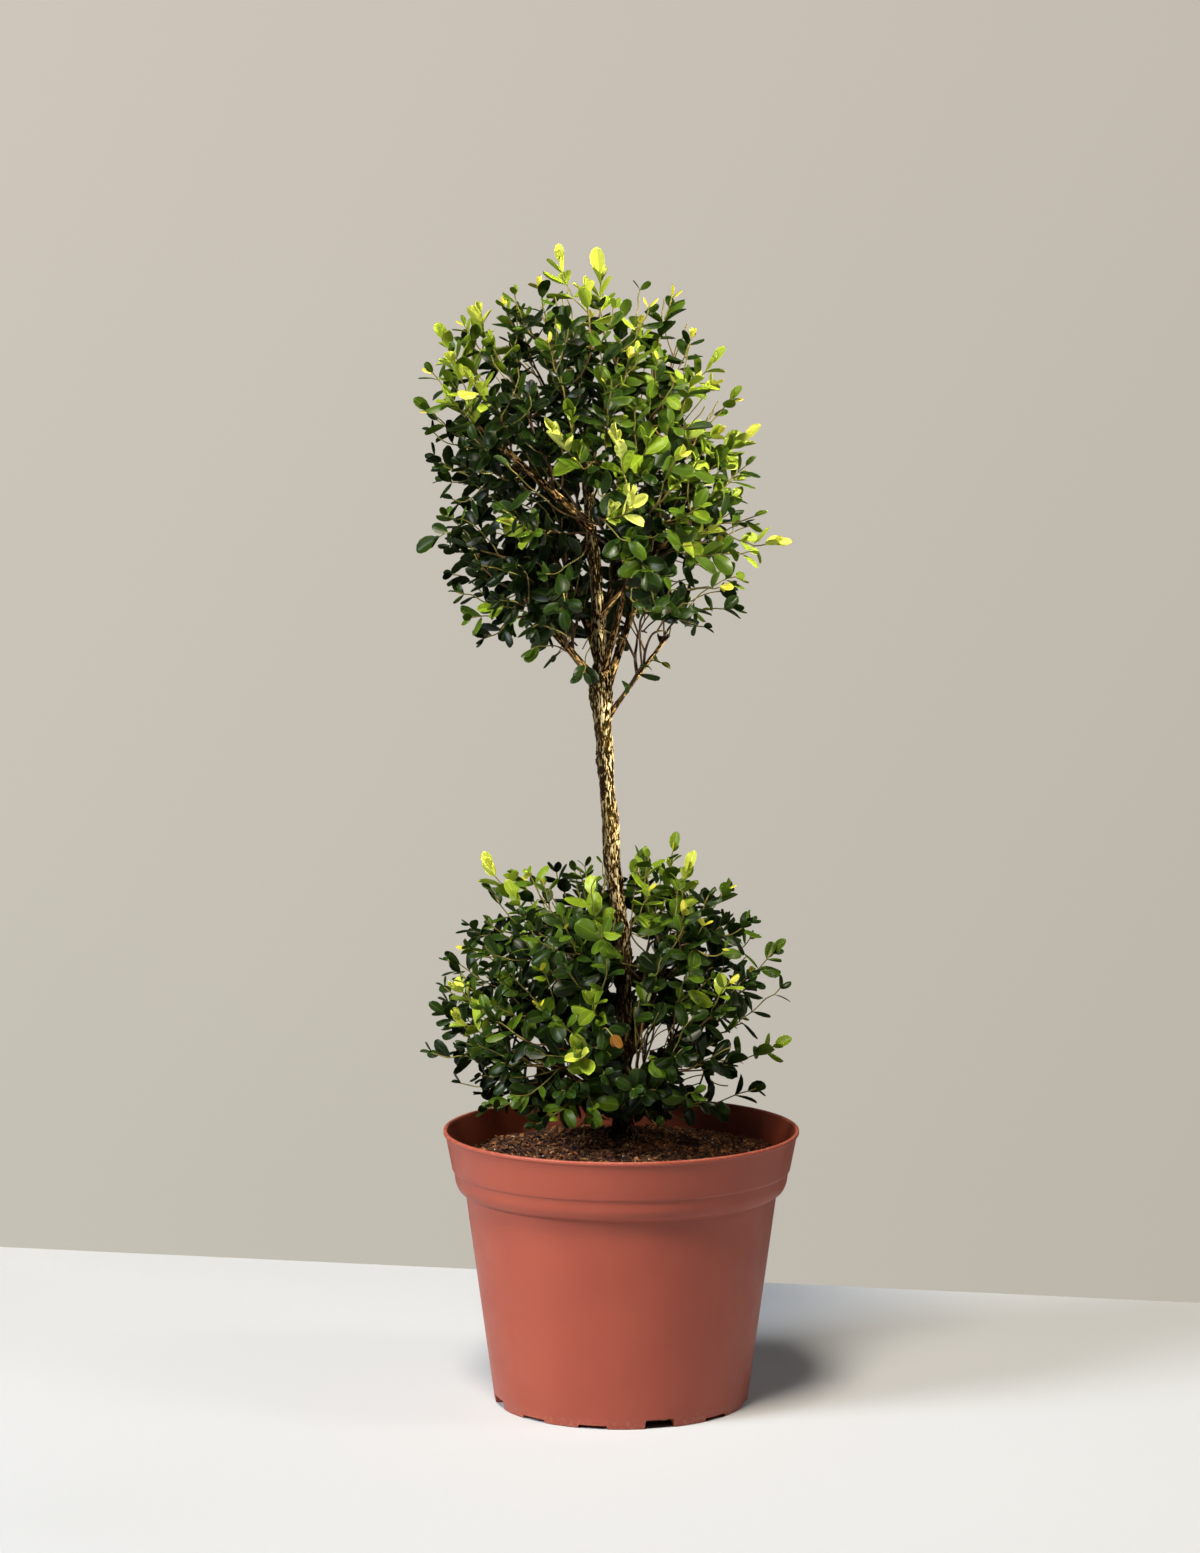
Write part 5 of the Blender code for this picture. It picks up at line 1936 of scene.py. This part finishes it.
leaves_by_ball, kept_twigs = {}, {}
for ball in LEVELS:
    leaves_by_ball[ball], kept = ball_leaves(ball)
    kept_twigs.update(kept)
    print(ball, {tone: len(found) for tone, found in leaves_by_ball[ball].items()})
print(f"{sum(not mark for marks in kept_twigs.values() for mark in marks)} bare shoots are left out")

# %% [markdown]
# A twig is a thin tube along its path, as thick as the twigs that it carries need. It is swept by a smaller
# recipe, without relief. Its age, from old at its foot to this year's green at its tip, is kept along it for
# the colour.

# %% Sweep the twigs
TWIG_RADIUS = 0.46  # of a twig that carries nothing else
TWIG_THICKENING = 0.40  # a twig's radius grows with this power of the number of shoots it carries
TWIG_COLOURS = (
    (0.0, (0.045, 0.022, 0.008)),
    (0.35, (0.16, 0.085, 0.028)),
    (0.62, (0.17, 0.135, 0.028)),
    (1.0, (0.23, 0.28, 0.050)),
)
TWIG_SIDES = 7
TWIG_STEP = 3.2


def twig_recipe():
    made = Recipe("twigs")
    sides = made.ask("Sides", "Int")
    step = made.ask("Step", "Float")
    finish = made.ask("Finish", "Material")
    tube = swept_tube(made, sides, step)
    made.end_in_finish(made.add("GeometryNodeSetShadeSmooth", tube), finish)
    return made


def twig_finish():
    made = new_finish("twig_bark", 0.6, Specular_IOR_Level=0.35)
    tree = made.node_tree
    age = add_node(tree, "ShaderNodeAttribute", attribute_name="age", out=2)
    place = place_on_piece(tree)
    speckle = calculate(tree, "MULTIPLY_ADD", grain(tree, place, 3.0, 3.0), 0.5, -0.25)
    connect(made, Base_Color=ramp(tree, calculate(tree, "ADD", age, speckle), *TWIG_COLOURS))
    add_bump(made, grain(tree, place, 0.7, 3.0), 0.5, 0.2)
    return made


def twig_age(radius):
    """0 for old wood and 1 for this year's, worked out from how thick it has grown."""
    return min(1.0, max(0.0, 1.45 - radius / (TWIG_RADIUS * 1.25)))


def twig_lines(masses):
    """The paths of all twigs with their radii, and the age of each of their points."""
    lines, ages = [], []
    for mass in masses:
        twigs, kept = twigs_by_mass[mass], kept_twigs[mass]
        load = carried_shoots(twigs, kept)
        for own in range(1, len(twigs)):
            if not kept[own]:
                continue
            path = twigs[own][0]
            radii = [TWIG_RADIUS * carried**TWIG_THICKENING for carried in load[own]]
            line = smoothed([(*point, radius) for point, radius in zip(path, radii)], 2)
            lines.append(line)
            ages += [twig_age(radius) for _, _, _, radius in line]
    return lines, ages


twig_rule = twig_recipe()
twig_bark = twig_finish()
for ball in LEVELS:
    lines, ages = twig_lines(masses_of(ball))
    helper = lines_mesh("helper", lines)
    store(helper, "age", "FLOAT", ages)
    inputs = {"Sides": TWIG_SIDES, "Step": TWIG_STEP * MM, "Finish": twig_bark}
    twigs = twig_rule.run(f"{ball}_twigs", helper, inputs)
    bpy.data.objects.remove(helper)
    keep_piece(twigs, "bark", *masses_of(ball))

# %% [markdown]
# ## The leaf
# A boxwood leaf is a small oval, widest beyond its middle, with a blunt tip and a short stalk. It is thick
# and glossy, with a paler midrib and a dull, paler underside. Its fine margin is given the midrib's paler
# colour, as a painted highlight of the light that thin edges catch. Thousands are needed, so a blank has only
# a few dozen faces: a margin and two rows of faces each side of a narrow rib above, and one each side below.
# The blanks differ in how they are cupped, folded, curled and twisted, and the last is the furled leaf of a
# young tip. Each face is marked as blade, rib and lit edge, or underside, so that one leaf can carry three
# plain colours.

# %% Cut the leaf blanks
LEAF_STATIONS = (  # how far along, and the width there
    (0.0, 0.06),
    (0.09, 0.10),
    (0.22, 0.58),
    (0.44, 0.94),
    (0.70, 0.97),
    (0.90, 0.66),
    (1.0, 0.17),
)
LEAF_WIDTH = 0.56  # of its length, as the next ones are
LEAF_THICKNESS = 0.022
MARGIN_DROP = 0.018
STALK_IN_TWIG = 0.02
MARGIN_START = 0.52  # of half the width
CUP_CURVE = 1.4
TOP_COLUMNS = (-1.0, -0.90, -0.5, -0.06, 0.06, 0.5, 0.90, 1.0)
BLADE, RIB_AND_LIT_EDGE, UNDERSIDE = range(3)
LEAF_SHAPES = {
    "cupped": dict(cup=0.20, curl=-0.10, twist=0.1, width=0.98),
    "domed": dict(cup=-0.26, curl=-0.30, twist=0.25, width=1.05),
    "folded": dict(cup=0.34, curl=0.10, twist=-0.2, width=0.92),
    "curled": dict(cup=-0.10, curl=-0.46, twist=-0.35, width=1.0),
    "furled": dict(cup=0.66, curl=0.24, twist=0.5, width=0.62),
}


def leaf_point(t, half, u, shape, under):
    """A point of a leaf that is one unit long, at t along it and u across it."""
    x = u * half * LEAF_WIDTH / 2 * shape["width"]
    middle = shape["curl"] * t * t
    margin = max(0.0, abs(u) - MARGIN_START) / (1 - MARGIN_START)
    rise = shape["cup"] * LEAF_WIDTH * abs(u) ** CUP_CURVE * half - MARGIN_DROP * margin * half
    if under:
        rise -= LEAF_THICKNESS
    turn = shape["twist"] * t
    turned_x = x * math.cos(turn) - rise * math.sin(turn)
    return turned_x, t - STALK_IN_TWIG, middle + x * math.sin(turn) + rise * math.cos(turn)


def leaf_blank(group, name, shape):
    """One leaf: rows of points across it, with one more point under each row."""
    points, rows = [], []
    for t, half in LEAF_STATIONS:
        first = len(points)
        points += [leaf_point(t, half, u, shape, False) for u in TOP_COLUMNS]
        points.append(leaf_point(t, half, 0.0, shape, True))
        rows.append(first)
    last = len(TOP_COLUMNS) - 1
    faces, parts = [], []
    for low, high in zip(rows, rows[1:]):
        for k in range(last):
            faces.append((low + k, low + k + 1, high + k + 1, high + k))
            # The rib and the two edge faces share one paler colour; on the edges it is a painted highlight.
            parts.append(RIB_AND_LIT_EDGE if k in (0, last // 2, last - 1) else BLADE)
        faces.append((low + last, low + last + 1, high + last + 1, high + last))
        faces.append((low + last + 1, low, high, high + last + 1))
        parts += [UNDERSIDE, UNDERSIDE]
    foot, end = rows[0], rows[-1]
    faces.append(tuple(reversed(range(foot, foot + last + 2))))
    faces.append(tuple(range(end, end + last + 2)))
    parts += [UNDERSIDE, BLADE]
    made = blank(name, points, faces, group)
    store(made, "part", "INT", parts, "FACE")
    made.data.shade_smooth()
    rims = {tuple(sorted((low + k, high + k))) for low, high in zip(rows, rows[1:]) for k in (0, last)}
    sharp = [tuple(sorted(edge.vertices)) in rims for edge in made.data.edges]
    store(made, "sharp_edge", "BOOLEAN", sharp, "EDGE")
    return made


leaf_blanks = new_group("leaf_blanks")
for index, (name, shape) in enumerate(LEAF_SHAPES.items()):
    leaf_blank(leaf_blanks, f"leaf_{index}_{name}", shape)

# %% [markdown]
# The leaves' colours are plain, as the leaves of one spray nearly are. What varies is which spray has
# which: from a nearly black green inside to the yellow-green of this year's shoots. The nearly black greens
# are partly painted shade inside the balls, and the lighter greens partly painted light on shoots that stand
# out towards the lamps. Gloss comes from the shader alone, and ribs, lit edges and undersides are made from
# the blade's colour.

# %% Mix the leaf finishes
LEAF_COLOURS = {
    "deep": (0.003, 0.008, 0.001),
    "dark": (0.010, 0.024, 0.002),
    "mid": (0.041, 0.076, 0.004),
    "fresh": (0.108, 0.164, 0.008),
    "light": (0.215, 0.288, 0.021),
    "young": (0.385, 0.430, 0.050),
    "pale": (0.440, 0.470, 0.100),
    "bud": (0.350, 0.335, 0.028),
    "old": (0.140, 0.058, 0.007),
}
LEAF_GLOSS = {"light": 0.2, "young": 0.2, "pale": 0.1, "bud": 0.2}
OTHER_GLOSS = 0.13
LEAF_PARTS = {  # times the blade's colour, plus, and the roughness
    "blade": (1.0, (0.0, 0.0, 0.0), 0.34),
    "rib_and_lit_edge": (1.35, (0.014, 0.020, 0.003), 0.42),
    "underside": (1.2, (0.006, 0.009, 0.001), 0.6),
}


def leaf_finishes(tone):
    """Three plain materials: blade, rib with lit edges, and underside. The edges' paler colour is a painted
    highlight.
    """
    made = []
    for part, (times, plus, roughness) in LEAF_PARTS.items():
        shade = [min(1.0, value * times + extra) for value, extra in zip(LEAF_COLOURS[tone], plus)]
        values = {"Base_Color": (*shade, 1.0), "Specular_IOR_Level": LEAF_GLOSS.get(tone, OTHER_GLOSS)}
        made.append(new_finish(f"leaf_{tone}_{part}", roughness, **values))
    return made


tone_finishes = {tone: leaf_finishes(tone) for tone in TONES}
print(f"{len(LEAF_PARTS) * len(TONES)} leaf finishes are mixed")

# %% Write the recipe that sets leaves on points


def leaf_recipe():
    made = Recipe("leaves on shoots")
    group = made.ask("Leaf blanks", "Collection")
    finishes = [made.ask(name, "Material") for name in ("Blade", "Rib", "Underside")]
    turn = made.add("FunctionNodeEulerToRotation", made.read("turn", "FLOAT_VECTOR"))
    blanks = made.add("GeometryNodeCollectionInfo", group, True, True)
    shape, size = made.read("shape", "INT"), made.read("size", "FLOAT_VECTOR")
    placed = made.add("GeometryNodeInstanceOnPoints", made.geometry, None, blanks, True, shape, turn, size)
    leaves = made.add("GeometryNodeRealizeInstances", placed)
    part = made.read("part", "INT")
    for number, finish in enumerate(finishes):
        chosen = made.add("FunctionNodeCompare", part, number, data_type="INT", operation="EQUAL")
        leaves = made.add("GeometryNodeSetMaterial", leaves, chosen, finish)
    made.end(leaves)
    return made


leaf_rule = leaf_recipe()
print(f"leaf recipe of {len(leaf_rule.tree.nodes)} nodes")

# %% Put the leaves on the plant
LEAF_WIDTHS = {"crown": (0.90, 1.14), "low": (0.94, 1.18)}  # of the blank's


def leaf_points(name, leaves, widths, dice):
    """A mesh with one point for each leaf, carrying how it is turned, its size and its blank."""
    turns, sizes = [], []
    for _, along, up, length, _, _ in leaves:
        right = along.cross(up).normalized()
        turns.append(Matrix((right, along, right.cross(along))).transposed().to_euler())
        sizes.append((length * MM * dice.uniform(*widths), length * MM, length * MM))
    made = plain_mesh(name, [leaf[0] for leaf in leaves], [])
    store(made, "turn", "FLOAT_VECTOR", turns)
    store(made, "size", "FLOAT_VECTOR", sizes)
    store(made, "shape", "INT", [leaf[4] for leaf in leaves])
    return made


leaf_dice = random.Random(SEED)
for ball, leaves in leaves_by_ball.items():
    for tone in filter(leaves.get, TONES):
        helper = leaf_points("helper", leaves[tone], LEAF_WIDTHS[ball], leaf_dice)
        inputs = {"Leaf blanks": leaf_blanks}
        inputs.update(zip(("Blade", "Rib", "Underside"), tone_finishes[tone]))
        piece = leaf_rule.run(f"{ball}_leaves_{tone}", helper, inputs)
        bpy.data.objects.remove(helper)
        keep_piece(piece, "foliage", *masses_of(ball))

# %% [markdown]
# ## Clear up and measure
# The blanks have done their work and are removed. The box of the finished plant is measured and printed
# beside the solid model's.

# %% Remove the blanks and measure the plant
for group in (chips, grains, strands, leaf_blanks):
    for thing in list(group.objects):
        bpy.data.objects.remove(thing)
    bpy.data.collections.remove(group)

visual_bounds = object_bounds()
sizes = {"cad": [list(corner) for corner in solid_bounds], "visual": [list(corner) for corner in visual_bounds]}
for name, (low, high) in sizes.items():
    print(name, [round(value / MM, 1) for value in low], [round(value / MM, 1) for value in high])
